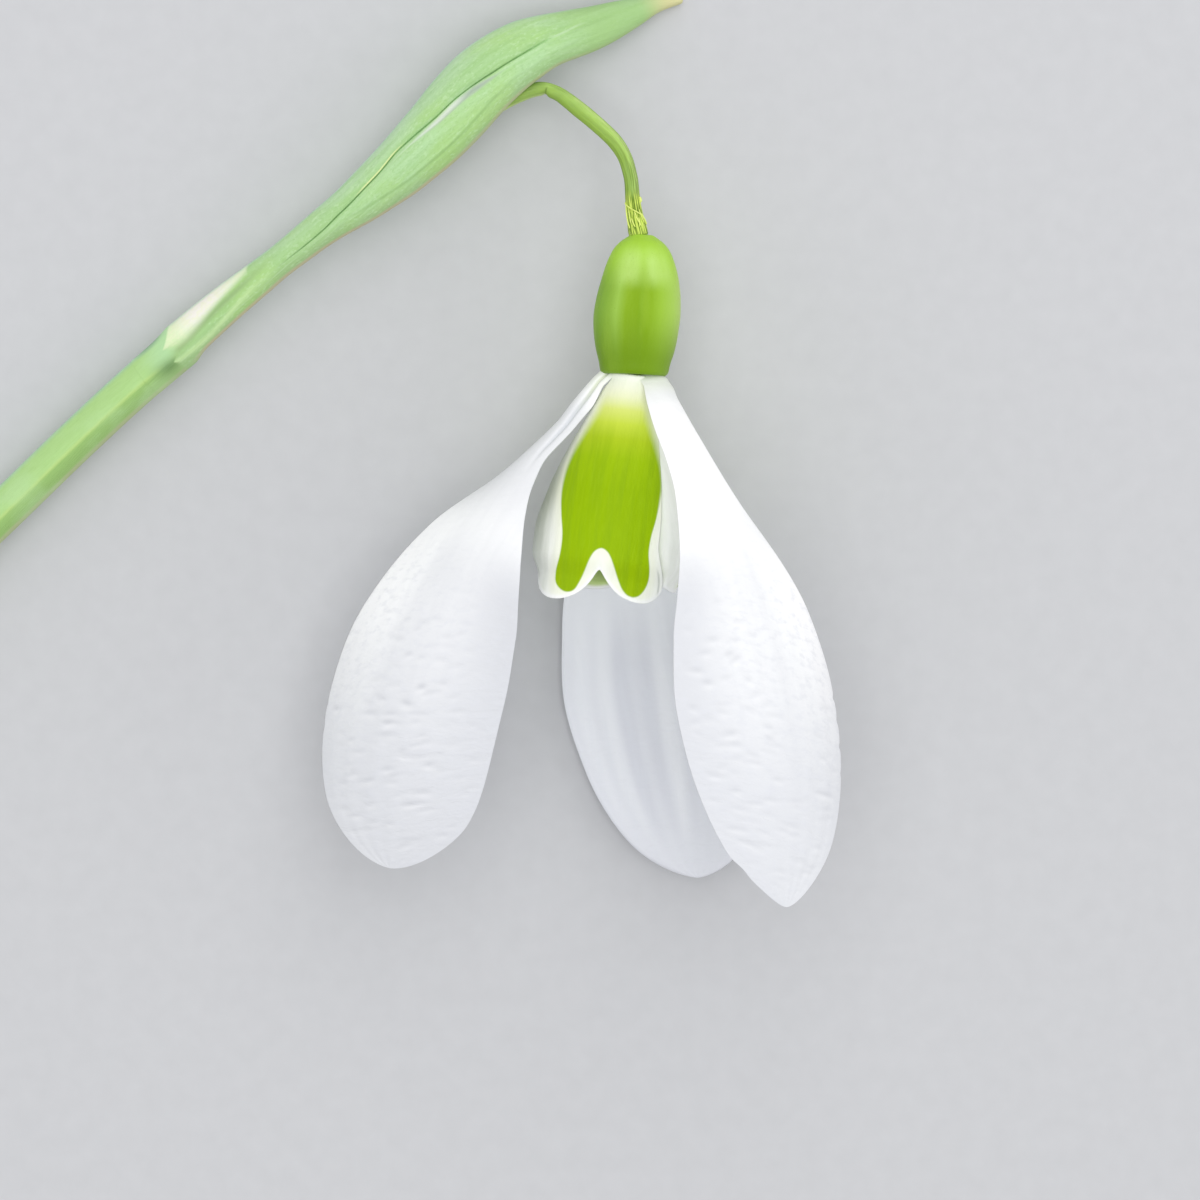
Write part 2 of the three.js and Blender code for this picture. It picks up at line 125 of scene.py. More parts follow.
def soft_light(name, place, size, power, aim=(0.02, 0, 0)):
    """A square soft light at a place in metres, turned to face the flower."""
    lamp = bpy.data.lights.new(name, "AREA")
    lamp.size = size
    lamp.energy = power
    holder = bpy.data.objects.new(name, lamp)
    bpy.context.scene.collection.objects.link(holder)
    holder.location = place
    away = holder.location - Vector(aim)
    holder.rotation_euler = away.to_track_quat("Z", "Y").to_euler()


soft_light("window_light", (0.12, 0.34, 0.42), 0.4, 0.62)
soft_light("overhead_light", (0.03, 0.06, 0.55), 0.4, 1.13)
soft_light("left_glow", (-0.34, 0.06, 0.14), 0.3, 0.2)
soft_light("right_glow", (0.4, 0.02, 0.16), 0.3, 0.28)

camera = bpy.data.objects.new("camera", bpy.data.cameras.new("camera"))
bpy.context.scene.collection.objects.link(camera)
camera.location = laid((0, 0, CAMERA_HEIGHT))
camera.rotation_euler = (LEAN, 0, 0)
camera.data.angle = 2 * math.atan(CAMERA_HALF_VIEW / CAMERA_HEIGHT)
camera.data.clip_start = 0.01
camera.data.clip_end = 10
bpy.context.scene.camera = camera
bpy.context.scene.view_settings.view_transform = "Standard"


# Scape.
# The leafless flower stem, a fleshy stalk with a faint ridge that faces the viewer. It grows from
# the bulb and was cut across at its lower end; at its top it runs into the sheath.

SCAPE_ROUTE = [
    (-63.6, -26.4, -12.75), (-55.5, -18.8, -10.95), (-47.2, -11, -9.25), (-38.8, -3.3, -7.75),
    (-30.6, 4.4, -6.35), (-26.7, 8.1, -5.65), (-23.6, 10.9, -5.0), (-21.3, 12.8, -4.5),
]
SCAPE_RADIUS = 1.03
SCAPE_RIDGE_ANGLE = math.radians(78)
SCAPE_ROWS = 200
SCAPE_SIDES = 96


def eased(share):
    """0 to 1 with a soft start and a soft end."""
    kept = np.clip(share, 0, 1)
    return kept * kept * (3 - 2 * kept)


def hump(distance, width):
    """1 at distance 0, falling smoothly to nothing some widths away."""
    return np.exp(-((distance / width) ** 2))


def follow(route, fine=60):
    """Many points along a smooth line through the route's points, with each one's share of the route."""
    given = np.array(route, float)
    given = np.vstack([2 * given[0] - given[1], given, 2 * given[-1] - given[-2]])
    spans = len(route) - 1
    points, shares = [], []
    for i in range(spans):
        a, b, c, d = given[i : i + 4]
        before, here, after = (np.linalg.norm(q - p) ** 0.5 for p, q in ((a, b), (b, c), (c, d)))
        leave = ((b - a) / before - (c - a) / (before + here) + (c - b) / here) * here
        reach = ((c - b) / here - (d - b) / (here + after) + (d - c) / after) * here
        s = np.linspace(0, 1, fine + 1)[: fine + (i == spans - 1), None]
        turning = b + leave * s + (3 * (c - b) - 2 * leave - reach) * s**2
        points.append(turning + (2 * (b - c) + leave + reach) * s**3)
        shares.append((i + s[:, 0]) / spans)
    return np.vstack(points), np.concatenate(shares)


class Rail:
    """A smooth route with its length, and the directions across it and towards the viewer."""

    def __init__(self, route):
        self.points, self.shares = follow(route)
        steps = np.linalg.norm(np.diff(self.points, axis=0), axis=1)
        self.lengths = np.concatenate([[0], np.cumsum(steps)])
        self.length = self.lengths[-1]
        self.headings = np.gradient(self.points, self.lengths, axis=0)

    def at(self, length):
        """Points, across and front directions, and shares of the route at these lengths along it."""
        pick = lambda values: np.stack([np.interp(length, self.lengths, c) for c in values.T], -1)
        point, heading = pick(self.points), pick(self.headings)
        heading = heading / np.linalg.norm(heading, axis=-1, keepdims=True)
        beyond = length - np.clip(length, 0, self.length)
        point = point + heading * beyond[..., None]
        across = np.cross(heading, (0, 0, 1))
        across = across / np.linalg.norm(across, axis=-1, keepdims=True)
        return point, across, np.cross(across, heading), np.interp(length, self.lengths, self.shares)


def along_rows(share, values):
    """The value for a share of the rows, from a list with one value for each row."""
    return np.interp(share, np.linspace(0, 1, len(values)), values)


# Points of a skin that lie within this many metres of each other are merged into one.
MERGED_WITHIN = 1e-6


def rolled_grid(name, around, along, place):
    """A flat grid rolled up into a closed skin. From shares of the way round and along, place gives
    points and markings."""
    bpy.ops.object.select_all(action="DESELECT")
    bpy.ops.mesh.primitive_grid_add(x_subdivisions=around, y_subdivisions=along, size=1)
    piece = bpy.context.object
    piece.name = piece.data.name = name
    flat = np.empty(len(piece.data.vertices) * 3)
    piece.data.vertices.foreach_get("co", flat)
    flat = flat.reshape(-1, 3)[:, :2] + 0.5
    points, markings = place(flat[:, 0], flat[:, 1])
    piece.data.vertices.foreach_set("co", laid(points).ravel())
    for marking, values in markings.items():
        kind, key = ("FLOAT_VECTOR", "vector") if np.ndim(values) == 2 else ("FLOAT", "value")
        store = piece.data.attributes.new(marking, kind, "POINT")
        store.data.foreach_set(key, np.asarray(values, np.float32).ravel())
    bpy.ops.object.mode_set(mode="EDIT")
    bpy.ops.mesh.select_all(action="SELECT")
    bpy.ops.mesh.remove_doubles(threshold=MERGED_WITHIN)
    bpy.ops.mesh.normals_make_consistent(inside=False)
    bpy.ops.object.mode_set(mode="OBJECT")
    bpy.ops.object.shade_smooth()
    return piece


def marking(name, output="Fac"):
    """A marking that was stored on the piece's points."""
    made = tree.nodes.new("ShaderNodeAttribute")
    made.attribute_name = name
    return made.outputs[output]


def scaled(value, low, high, to_low=0, to_high=1, ease="SMOOTHSTEP"):
    """The value carried from one range to another, and held at its ends."""
    return node("MapRange", {"interpolation_type": ease}, n0=value, n1=low, n2=high, n3=to_low, n4=to_high)


def blended(share, first, second):
    """The second colour laid over the first by this share. Colours are hex digits or node outputs."""
    made = tree.nodes.new("ShaderNodeMix")
    made.data_type = "RGBA"
    colours = (daylight(colour) if isinstance(colour, str) else colour for colour in (first, second))
    for number, value in zip((0, 6, 7), (share, *colours)):
        feed(made.inputs[number], value)
    return made.outputs[2]


def tinted(colour, tint, share, *ends):
    """A tint laid over a colour by a share, which is scaled first where its ends are given."""
    return blended(scaled(share, *ends) if ends else share, colour, tint)


def grained(scale, detail=3, stretch=(1, 1, 1)):
    """Noise on the piece's own surface measures, stretched along its grain."""
    spread = node("Mapping", Vector=marking("grain", "Vector"), Scale=stretch)
    return node("TexNoise", Vector=spread, Scale=scale, Detail=detail)


def product(share, *others):
    """Shares multiplied together."""
    for other in others:
        share = node("Math", {"operation": "MULTIPLY"}, n0=share, n1=other)
    return share


def between(value, start, full, fading, end):
    """1 where the value lies between full and fading, and 0 before start and after end."""
    return product(scaled(value, start, full), scaled(value, fading, end, 1, 0))


def off_by(value, middle):
    """How far the value lies from a middle one, to either side."""
    difference = node("Math", {"operation": "SUBTRACT"}, n0=value, n1=middle)
    return node("Math", {"operation": "ABSOLUTE"}, n0=difference)


def surfaced(colour, grain, smooth, rough):
    """Gives the shader in hand its colour, and a roughness that follows a grain."""
    tree.links.new(colour, shader.inputs["Base Color"])
    tree.links.new(scaled(grain, 0.3, 0.7, smooth, rough), shader.inputs["Roughness"])


def bumped(height, distance, strength, normal=None):
    """Raises the surface by a height from 0 to 1, with that distance in metres."""
    made = node("Bump", Height=height, Distance=distance, Strength=strength)
    if normal is not None:
        tree.links.new(normal, tree.nodes[-1].inputs["Normal"])
    tree.links.new(made, shader.inputs["Normal"])
    return made


def fitted(piece, material, slot, *nodes):
    """Gives a piece its material, ties it to the body, hides the nodes it stands for; slot is not used."""
    piece.data.materials.append(material)
    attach(piece, "root")
    if nodes:
        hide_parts(*nodes)


def set_out(point, across, front, sideways, forwards):
    """Points moved off a line, by these distances across it and towards the viewer."""
    return point + across * sideways[:, None] + front * forwards[:, None]


def grain_round(angle, length, spread=1):
    """Surface measures for a round piece, whose grain runs along it and closes round it."""
    return np.stack([spread * np.cos(angle), spread * np.sin(angle), length], -1)


def half_turned(angle):
    """The same angle, counted from half a turn one way to half a turn the other."""
    return (angle + np.pi) % (2 * np.pi) - np.pi


def stem_ridges(off_ridge):
    """How far the stem's skin stands past its radius, as a share of it, at an angle off its ridge."""
    return 0.045 * np.cos(4 * off_ridge) + 0.022 * hump(off_ridge, math.radians(9))


scape_rail = Rail(SCAPE_ROUTE)
scape_lengths = np.concatenate([
    [0, 0, 0, 0, 0.02, 0.07], np.linspace(0.16, scape_rail.length, SCAPE_ROWS - 9),
    scape_rail.length + np.array([0, 0, 0.05, 0.05]),
])
scape_fullness = np.concatenate([
    [0, 0.45, 0.8, 0.95, 0.985, 0.998], np.ones(SCAPE_ROWS - 9), [0.99, 0.9, 0.5, 0],
])


def scape_place(u, v):
    angle = 2 * np.pi * u
    length, full = along_rows(v, scape_lengths), along_rows(v, scape_fullness)
    point, across, front, _ = scape_rail.at(length)
    off_ridge = half_turned(angle - SCAPE_RIDGE_ANGLE)
    radius = SCAPE_RADIUS * (1 + stem_ridges(off_ridge)) * full
    return set_out(point, across, front, radius * np.cos(angle), radius * np.sin(angle)), {
        "grain": grain_round(angle, length),
        "off_ridge": np.degrees(off_ridge),
        "cut": np.where(length < 0.05, 1 - full, 0),
    }


def stem_green():
    """The stem's green, from how many degrees each point lies off its ridge, and its fine fibres."""
    off_ridge = marking("off_ridge")
    # Painted light: the ridge's lit facet is lighter, and a painted highlight runs along the ridge.
    colour = blended(scaled(off_ridge, -5, 4), "9bc273", "afd58b")
    colour = tinted(colour, "c4dc84", off_by(off_ridge, 0), 0, 9, 0.45, 0)
    colour = tinted(colour, "b0d6c2", off_ridge, 62, 92, 0, 0.8)
    colour = tinted(colour, "c0c29c", off_ridge, -46, -64, 0, 0.75)
    colour = tinted(colour, "a4ca84", off_by(off_ridge, 0), 100, 150)
    fibres = grained(5, 4, (3.5, 3.5, 0.22))
    colour = tinted(colour, "96c46c", fibres, 0.35, 0.7, 0, 0.22)
    blotches = grained(0.6, 4, (1, 1, 0.6))
    return tinted(colour, "b8dba0", blotches, 0.42, 0.68, 0, 0.45), fibres


scape = rolled_grid("scape", SCAPE_SIDES, len(scape_lengths) - 1, scape_place)
scape_skin, tree, shader = new_skin("scape_skin", 0.2)
colour, fibres = stem_green()
surfaced(tinted(colour, "dbe8b4", marking("cut"), 0.02, 0.2), fibres, 0.42, 0.58)
bumped(grained(7, 4, (3.5, 3.5, 0.25)), 0.00004, 0.8)
fitted(scape, scape_skin, "stem_green", "scape")


# Spathe.
# The sheath that guarded the bud: two green bracts grown together along their edges, with a thin
# silvery skin between them and a cream one at the foot. It grows round the top of the stem.

SPATHE_ROUTE = [
    (-21.1, 12.97, -4.45), (-18.7, 15.1, -4.1), (-16.6, 16.8, -3.7), (-15, 18, -3.2), (-13.5, 19.2, -2.7),
    (-12.2, 20.2, -2.3), (-10.5, 21.7, -1.9), (-9.2, 22.9, -1.6), (-7.5, 24.4, -1.3), (-5.9, 25.8, -1.1),
    (-4.4, 26.9, -1.1), (-2.85, 27.75, -1.3), (-1.5, 28.25, -1.7), (0, 28.75, -2.2), (1.6, 29.4, -2.7),
    (3.0, 30.0, -3.2), (4.15, 30.3, -3.53),
]
SPATHE_DEPTHS = [1.9, 1.9, 1.9, 1.9, 2.0, 2.1, 2.5, 2.8, 3.0, 2.9, 2.6, 2.1, 1.8, 1.5, 1.2, 0.9, 0.6]
# How far the sheath reaches to each side of its route, at these millimetres along it.
REACH_ALONG = [
    0, 1, 3, 5, 6.5, 8.3, 10.2, 12.4, 14.6, 16.8,
    18.4, 20.6, 22.8, 24.5, 26, 27.6, 29, 30.2, 31.65,
]
UPPER_REACH = [
    1.23, 1.19, 1.06, 0.92, 0.86, 0.92, 0.95, 1.12, 1.27, 1.53,
    1.8, 1.99, 1.86, 1.54, 1.35, 1.17, 0.92, 0.62, 0.2,
]
LOWER_REACH = [
    1.0, 0.91, 0.89, 0.86, 0.81, 0.86, 1.08, 1.46, 1.8, 1.93,
    1.85, 1.6, 1.34, 1.11, 1.02, 0.81, 0.55, 0.3, 0.12,
]
# Where the two bracts meet: millimetres along the route, and to its lower side.
SEAM_ALONG = [
    0, 4.9, 7.6, 9.4, 10.7, 12.4, 13.6, 15, 16.2, 17.5,
    18.6, 20.2, 21.2, 22.4, 24, 25, 26, 27.5, 31.65,
]
SEAM_SIDE = [
    0.4, 0.3, 0.2, 0.19, 0.08, -0.1, -0.18, -0.34, -0.31, -0.27,
    -0.3, -0.19, -0.1, -0.07, -0.19, -0.32, -0.47, -0.5, -0.05,
]
SPATHE_ROWS = 360
SPATHE_SIDES = 180

# The route of the flower's stalk, which leaves between the bracts.
PEDICEL_ROUTE = [
    (-9.4, 22.0, -2.4), (-7.6, 23.3, -2.2), (-5.8, 24.5, -2.0), (-4.2, 25.35, -1.8), (-3.0, 25.65, -1.6),
    (-2.25, 25.4, -1.4), (-1.6, 24.9, -1.2), (-1.0, 24.4, -1.0), (-0.1, 23.7, -0.7), (0.7, 22.95, -0.5),
    (1.2, 22.15, -0.3), (1.48, 21.2, -0.15), (1.65, 20.2, -0.05), (1.85, 19.1, 0), (1.98, 18.55, 0),
]
# Half the width of the channel that the sheath leaves for it.
PEDICEL_CHANNEL = 0.6


def through(stations, values, x):
    """Height at x of a smooth line that passes through every station."""
    stations, values = np.array(stations, float), np.array(values, float)
    slopes = np.diff(values) / np.diff(stations)
    before, after = slopes[:-1], slopes[1:]
    turning = before * after <= 0
    middle = np.where(turning, 0, 2 * before * after / np.where(turning, 1, before + after))
    leans = np.concatenate([[slopes[0]], middle, [slopes[-1]]])
    i = np.clip(np.searchsorted(stations, x) - 1, 0, len(stations) - 2)
    span = stations[i + 1] - stations[i]
    t = np.clip((x - stations[i]) / span, 0, 1)
    start = (2 * t**3 - 3 * t**2 + 1) * values[i] + (t**3 - 2 * t**2 + t) * span * leans[i]
    return start + (3 * t**2 - 2 * t**3) * values[i + 1] + (t**3 - t**2) * span * leans[i + 1]


def even_stations(values):
    return np.linspace(0, 1, len(values))


spathe_rail = Rail(SPATHE_ROUTE)
pedicel_rail = Rail(PEDICEL_ROUTE)
# The sheath's foot clasps the stem, so its skin starts this many millimetres before its route does.
SPATHE_CLASP = 2.6
# Millimetres from the end of the stem's route to the start of the sheath's.
STEM_TO_SPATHE = 0.27
# The sheath's skin stands this far off the stem that it clasps.
SHEATH_THICKNESS = 0.015
# Millimetres along the sheath's foot, and how far to the lower side of its route the cream skin ends
# and the green band and the light strip lie.
FOOT_ALONG = [-0.92, -0.3, 0.4, 1.44, 2.6, 3.55, 4.27, 4.91, 6.2]
CREAM_EDGE = [-0.33, -0.17, -0.12, -0.22, -0.36, -0.45, -0.51, -0.62, -2.2]
BAND_MIDDLE = [0.08, 0.06, 0.03, -0.08, -0.14, -0.17, -0.2, -0.25, -0.3]
STRIP_MIDDLE = [0.46, 0.52, 0.56, 0.6, 0.48, 0.36, 0.27, 0.22, 0.2]
# Millimetres in from the sheath's upper edge, and where along it and how softly its own skin begins.
START_ACROSS = [0.0, 0.12, 0.24, 0.5, 0.68, 0.76, 1.0, 1.35, 1.52, 1.7, 2.3]
START_ALONG = [-0.05, -0.15, -0.32, -0.66, -0.94, -0.88, -0.75, -0.6, -0.85, -0.8, -0.9]
START_SOFTNESS = [0.2, 0.25, 0.25, 0.2, 0.12, 0.4, 0.7, 0.5, 0.1, 0.3, 0.4]

spathe_lengths = np.concatenate([
    np.array([0.1, 0.0, 0.0, 0.003, 0.02]) - SPATHE_CLASP,
    np.linspace(0.12 - SPATHE_CLASP, spathe_rail.length - 0.12, SPATHE_ROWS - 9),
    spathe_rail.length - np.array([0.06, 0.02, 0, 0]),
])
spathe_fullness = np.concatenate([
    [0, 0.93, 0.995, 1, 1], np.ones(SPATHE_ROWS - 9), [0.93, 0.7, 0.4, 0],
])


def front_and_back(u):
    """Whether each point lies in front, and its place from one edge, at -1, to the other, at 1. The
    way round runs over the front first and comes back behind it."""
    in_front = u <= 0.5
    return in_front, np.where(in_front, 4 * u - 1, 3 - 4 * u)


def spathe_place(u, v):
    length = along_rows(v, spathe_lengths)
    point, across, front, share = spathe_rail.at(length)
    on_stem = scape_rail.at(scape_rail.length + STEM_TO_SPATHE + length)
    clear_of_stem = eased((length + 0.9) / 1.8)[:, None]
    point, across, front = (
        stem + (own - stem) * clear_of_stem for stem, own in zip(on_stem, (point, across, front))
    )
    upper, lower = (through(REACH_ALONG, reaches, length) for reaches in (UPPER_REACH, LOWER_REACH))
    depth = through(even_stations(SPATHE_DEPTHS), SPATHE_DEPTHS, share)
    on_scape = SCAPE_RADIUS + SHEATH_THICKNESS
    round_stem = 1 - eased((length + 0.25) / 0.7)
    upper = upper + (on_scape + 0.16 * hump(length - 0.2, 1.0) - upper) * round_stem
    lower = lower + (on_scape - lower) * round_stem
    depth = depth + (2 * on_scape - depth) * (1 - eased(length / 1.7))
    width = upper + lower
    middle = (lower - upper) / 2
    seam = (through(SEAM_ALONG, SEAM_SIDE, length) - middle) / width

    # Columns crowd together at the seam and at the edges, where the form turns quickly.
    on_front, side = front_and_back(u)
    crowded = (1 - np.cos(np.pi * np.abs(side))) / 2
    from_seam = np.where(side < 0, (-0.5 - seam) * crowded, (0.5 - seam) * crowded)
    a = np.where(on_front, seam + from_seam, 0.5 * np.sin(np.pi / 2 * side))
    sideways = a * width + middle
    off_seam = (a - seam) * width
    bulge = np.sqrt(np.clip(1 - (2 * a) ** 2, 0, 1))

    # The valves part along the seam in a soft cleft, with a crease in its floor and the film in it.
    opened = eased((width - 1.55) / 0.9) * eased((0.93 - share) / 0.12) * eased((share - 0.14) / 0.1)
    cleft = 0.1 * opened * hump(off_seam, 0.08 * width + 0.04)
    crease = (0.05 + 0.05 * opened) * eased((share - 0.14) / 0.06) * hump(off_seam, 0.03)
    crease = crease * eased((0.74 - share) / 0.1)
    film = 0.19 * eased((length - 14.3) / 4) * eased((22 - length) / 2.2) - np.abs(off_seam - 0.21)
    floor_of_cleft = 0.5 * depth * bulge * (1 - cleft) - crease * np.where(film > 0, 0.3, 1)
    valve = 0.045 * np.sin(np.pi * np.clip(np.abs(off_seam) / (0.32 * width), 0, 1)) * opened
    veins = 0.012 * np.cos(2 * np.pi * (off_seam / 0.31 + 0.4 * np.sin(length * 0.5))) * opened * bulge
    height = np.where(on_front, floor_of_cleft + valve * bulge + veins, -0.5 * depth * bulge)
    off_ridge = np.arctan2(height, sideways) - SCAPE_RIDGE_ANGLE
    full = along_rows(v, spathe_fullness) * (1 + stem_ridges(off_ridge) * round_stem)
    points = set_out(point, across, front, sideways * full, height * full)

    # Behind, a channel is left open for the flower's stalk.
    stalk = pedicel_rail.points[::6]
    gaps = np.hypot(points[:, None, 0] - stalk[None, :, 0], points[:, None, 1] - stalk[None, :, 1])
    gap = gaps.min(1)
    over = stalk[gaps.argmin(1), 2] + np.sqrt(np.clip(PEDICEL_CHANNEL**2 - gap**2, 0, None))
    lifted = ~on_front & (gap < PEDICEL_CHANNEL) & (points[:, 2] < over)
    points[:, 2] = np.where(lifted, np.minimum(over, point[:, 2] + 0.3), points[:, 2])

    # The cream skin, and the stem's own skin below the sheath's, draw back behind the edges.
    at_foot = lambda values: np.interp(length, FOOT_ALONG, values)
    edge_above = sideways + upper
    by_start = lambda values: np.interp(edge_above, START_ACROSS, values)
    behind = np.where(on_front, 0, np.abs(height))
    shown = (length - by_start(START_ALONG) - 0.9 * behind) / (by_start(START_SOFTNESS) + 0.3 * behind)
    cream = at_foot(CREAM_EDGE) - sideways - (1.2 + 1.8 * eased((length - 0.8) / 4)) * behind
    # Painted shade on the stem just under the sheath's foot.
    shade_under_sheath = hump(length + 1.1, 0.8) * hump(sideways - 0.36, 0.5)
    return points, {
        "grain": np.stack([sideways, height, length + scape_rail.length], -1),
        "off_ridge": np.degrees(half_turned(off_ridge)),
        "off_seam": np.where(on_front, off_seam, 9),
        "film": np.where(on_front, film, -1),
        "shown": np.clip(shown, -2, 2),
        "cream": cream * (0.45 + 0.45 * eased((length - 0.5) / 3)),
        "band": np.where(on_front, hump(sideways - at_foot(BAND_MIDDLE), 0.17), 0),
        "strip": np.where(on_front, hump(sideways - at_foot(STRIP_MIDDLE), 0.13), 0),
        "shade_under_sheath": np.where(on_front, shade_under_sheath, 0),
        "edge_above": edge_above + 0.8 * behind,
        "edge_below": lower - sideways + 0.8 * behind,
        "along": length,
    }


spathe = rolled_grid("spathe", SPATHE_SIDES, len(spathe_lengths) - 1, spathe_place)
spathe_skin, tree, shader = new_skin("spathe_skin", 0.2)
off_seam, along, film = marking("off_seam"), marking("along"), marking("film")
edge_above, edge_below = marking("edge_above"), marking("edge_below")
upper_green = blended(scaled(edge_above, 0.1, 1.1), "b9d9ae", "a9cf92")
lower_green = blended(scaled(edge_below, 0.1, 0.9), "a6c690", "b3d8a1")
colour = blended(scaled(off_seam, -0.05, 0.05), upper_green, lower_green)
colour = tinted(colour, "a0c87c", along, 6, 15, 0.35, 0)
veins = grained(2.6, 4, (2, 0.4, 0.12))
colour = tinted(colour, "98c47a", veins, 0.4, 0.66, 0, 0.35)
colour = tinted(colour, "aad276", grained(0.45, 3, (1, 1, 0.6)), 0.42, 0.7, 0, 0.5)
mottling = grained(7, 3, (1, 1, 0.6))
colour = tinted(colour, "c6e4b4", mottling, 0.5, 0.72, 0, 0.4)
colour = tinted(colour, "92bc78", grained(12, 2, (1, 1, 0.5)), 0.52, 0.7, 0, 0.3)
# Painted shade along a fold of the lower bract.
fold_shade = product(scaled(off_by(edge_below, 0.7), 0, 0.12, 0.5, 0), between(along, 10, 13, 19, 23))
colour = tinted(colour, "82ac66", fold_shade)
off_line = off_by(off_seam, 0)
# Painted shade in the groove along the seam.
line = product(scaled(off_line, 0.01, 0.05, 0.5, 0), between(along, 6.2, 7.6, 21, 24))
line = product(line, scaled(off_by(along, 17.2), 2.2, 3.2, 0.5, 1))
colour = tinted(colour, "5f8a4a", line)
lip = product(scaled(off_seam, -0.13, -0.08), scaled(off_seam, -0.02, -0.05))
lip = product(lip, between(along, 11.6, 12.8, 14.6, 15.8))
colour = tinted(colour, "dfeca8", lip)
streak = product(scaled(off_line, 0.02, 0.08, 0.6, 0), between(along, 23.7, 24.6, 25.5, 26.7))
colour = tinted(colour, "d4ecc8", streak)
# Painted shade beside the film, on the upper valve's edge.
shade_beside_film = product(scaled(film, -0.34, 0, 0, 0.4), scaled(off_seam, 0.05, -0.02))
colour = tinted(colour, "8cb482", shade_beside_film)
# The film is silvery white, greyed towards its lower side with painted shade.
silver = blended(scaled(off_seam, 0.2, 0.36), "dee6da", "b0b9b3")
silver = tinted(silver, "a7b5a6", along, 18.5, 19.7)
silver = tinted(silver, "c6d6bc", grained(9, 2, (1, 1, 0.2)), 0.45, 0.65, 0, 0.25)
colour = tinted(colour, silver, film, -0.05, 0.15, 0, 0.9)
foot = scaled(along, 3, 7.5, 1, 0)
colour = tinted(colour, "93b378", product(marking("band"), foot))
colour = tinted(colour, "c8e4a6", product(marking("strip"), 0.7, foot))
milky = blended(scaled(along, -0.3, 1.6), "dcefbe", "efece2")
milky = tinted(milky, "dcefc6", along, 2.4, 5.2)
milky = tinted(milky, "e9edc9", mottling, 0.4, 0.62, 0, 0.5)
colour = tinted(colour, milky, marking("cream"), -0.16, 0.2)
low_rim = product(scaled(edge_below, 0.04, 0.16, 0.9, 0), scaled(along, -0.6, 1))
colour = tinted(colour, "c6bc9a", product(low_rim, scaled(along, 15, 19, 1, 0.6)))
colour = tinted(colour, "b8dcc4", edge_above, 0.02, 0.16, 0.6, 0)
colour = tinted(colour, "9cc27c", along, 23.5, 27, 0, 0.7)
colour = tinted(colour, "d0cd98", along, spathe_rail.length - 2.6, spathe_rail.length - 0.6)
# Painted shade on the stem just under the sheath's foot.
stem_colour = tinted(stem_green()[0], "719459", marking("shade_under_sheath"))
high_patch = product(scaled(along, -2.6, -0.7), scaled(edge_above, 1.7, 0.8, 0, 0.8))
stem_colour = tinted(stem_colour, "b4dca6", high_patch)
dark_edge = product(scaled(along, -2.6, -1.6), scaled(along, -0.2, -1.2))
dark_edge = product(dark_edge, scaled(edge_above, 0.02, 0.26, 0.7, 0))
stem_colour = tinted(stem_colour, "7fa383", dark_edge)
surfaced(tinted(stem_colour, colour, marking("shown"), 0, 1), veins, 0.45, 0.6)
bumped(grained(4.5, 4, (2.4, 1, 0.2)), 0.00005, 0.7)
fitted(spathe, spathe_skin, "spathe_green", "spathe")


# Pedicel.
# The thin stalk that carries the bloom. It leaves the sheath between the bracts, bends sharply and
# hangs down, and just above the seed case its skin has frayed into pale fibres.

PEDICEL_RADII = [0.4, 0.42, 0.42, 0.4, 0.37, 0.37, 0.4, 0.42, 0.41, 0.4, 0.37, 0.36, 0.38, 0.43, 0.49]
# How far its middle strays from the route towards its lower side.
PEDICEL_STRAY = [0, 0, 0, 0, -0.03, -0.08, -0.12, -0.12, -0.06, -0.03, -0.03, -0.03, 0.03, 0.08, 0.1]
PEDICEL_ROWS = 260
PEDICEL_SIDES = 48

pedicel_lengths = np.concatenate([
    [0.04, 0.02, 0, 0.03], np.linspace(0.1, pedicel_rail.length + 0.3, PEDICEL_ROWS - 7),
    [pedicel_rail.length + 0.34] * 3,
])
pedicel_fullness = np.concatenate([[0, 0.5, 0.85, 0.97], np.ones(PEDICEL_ROWS - 7), [0.96, 0.6, 0]])
# The stalk frays from this share of its length, and kinks at this one as it leaves the sheath.
FRAYED_FROM = 0.83
ELBOW_AT = 0.312


def pedicel_middle(length):
    """The rail's points and directions, moved as the stalk strays from its route."""
    point, across, front, share = pedicel_rail.at(length)
    stray = through(even_stations(PEDICEL_STRAY), PEDICEL_STRAY, share)
    return point + across * stray[:, None], across, front, share


def pedicel_place(u, v):
    angle = 2 * np.pi * u
    length = along_rows(v, pedicel_lengths)
    point, across, front, share = pedicel_middle(length)
    frayed = eased((share - FRAYED_FROM) / 0.05)
    grooves = 0.05 * np.cos(7 * angle + 1.5 * np.sin(length * 2)) * frayed
    angled = 0.03 * np.cos(3 * (angle - 1.2)) * (1 - frayed)
    elbow = 0.34 * hump(share - ELBOW_AT, 0.016) * eased(np.cos(angle) * 0.9 + 0.1)
    radius = through(even_stations(PEDICEL_RADII), PEDICEL_RADII, share)
    radius = radius * (1 + grooves + angled - 0.03 - elbow) * along_rows(v, pedicel_fullness)
    return set_out(point, across, front, radius * np.cos(angle), radius * np.sin(angle)), {
        "grain": grain_round(angle, length, 0.4),
        "facing": np.degrees(half_turned(angle - np.pi / 2)),
        "share": share,
        "frayed": frayed,
    }


pedicel = rolled_grid("pedicel", PEDICEL_SIDES, len(pedicel_lengths) - 1, pedicel_place)
pedicel_skin, tree, shader = new_skin("pedicel_skin", 0.2)
facing, share = marking("facing"), marking("share")
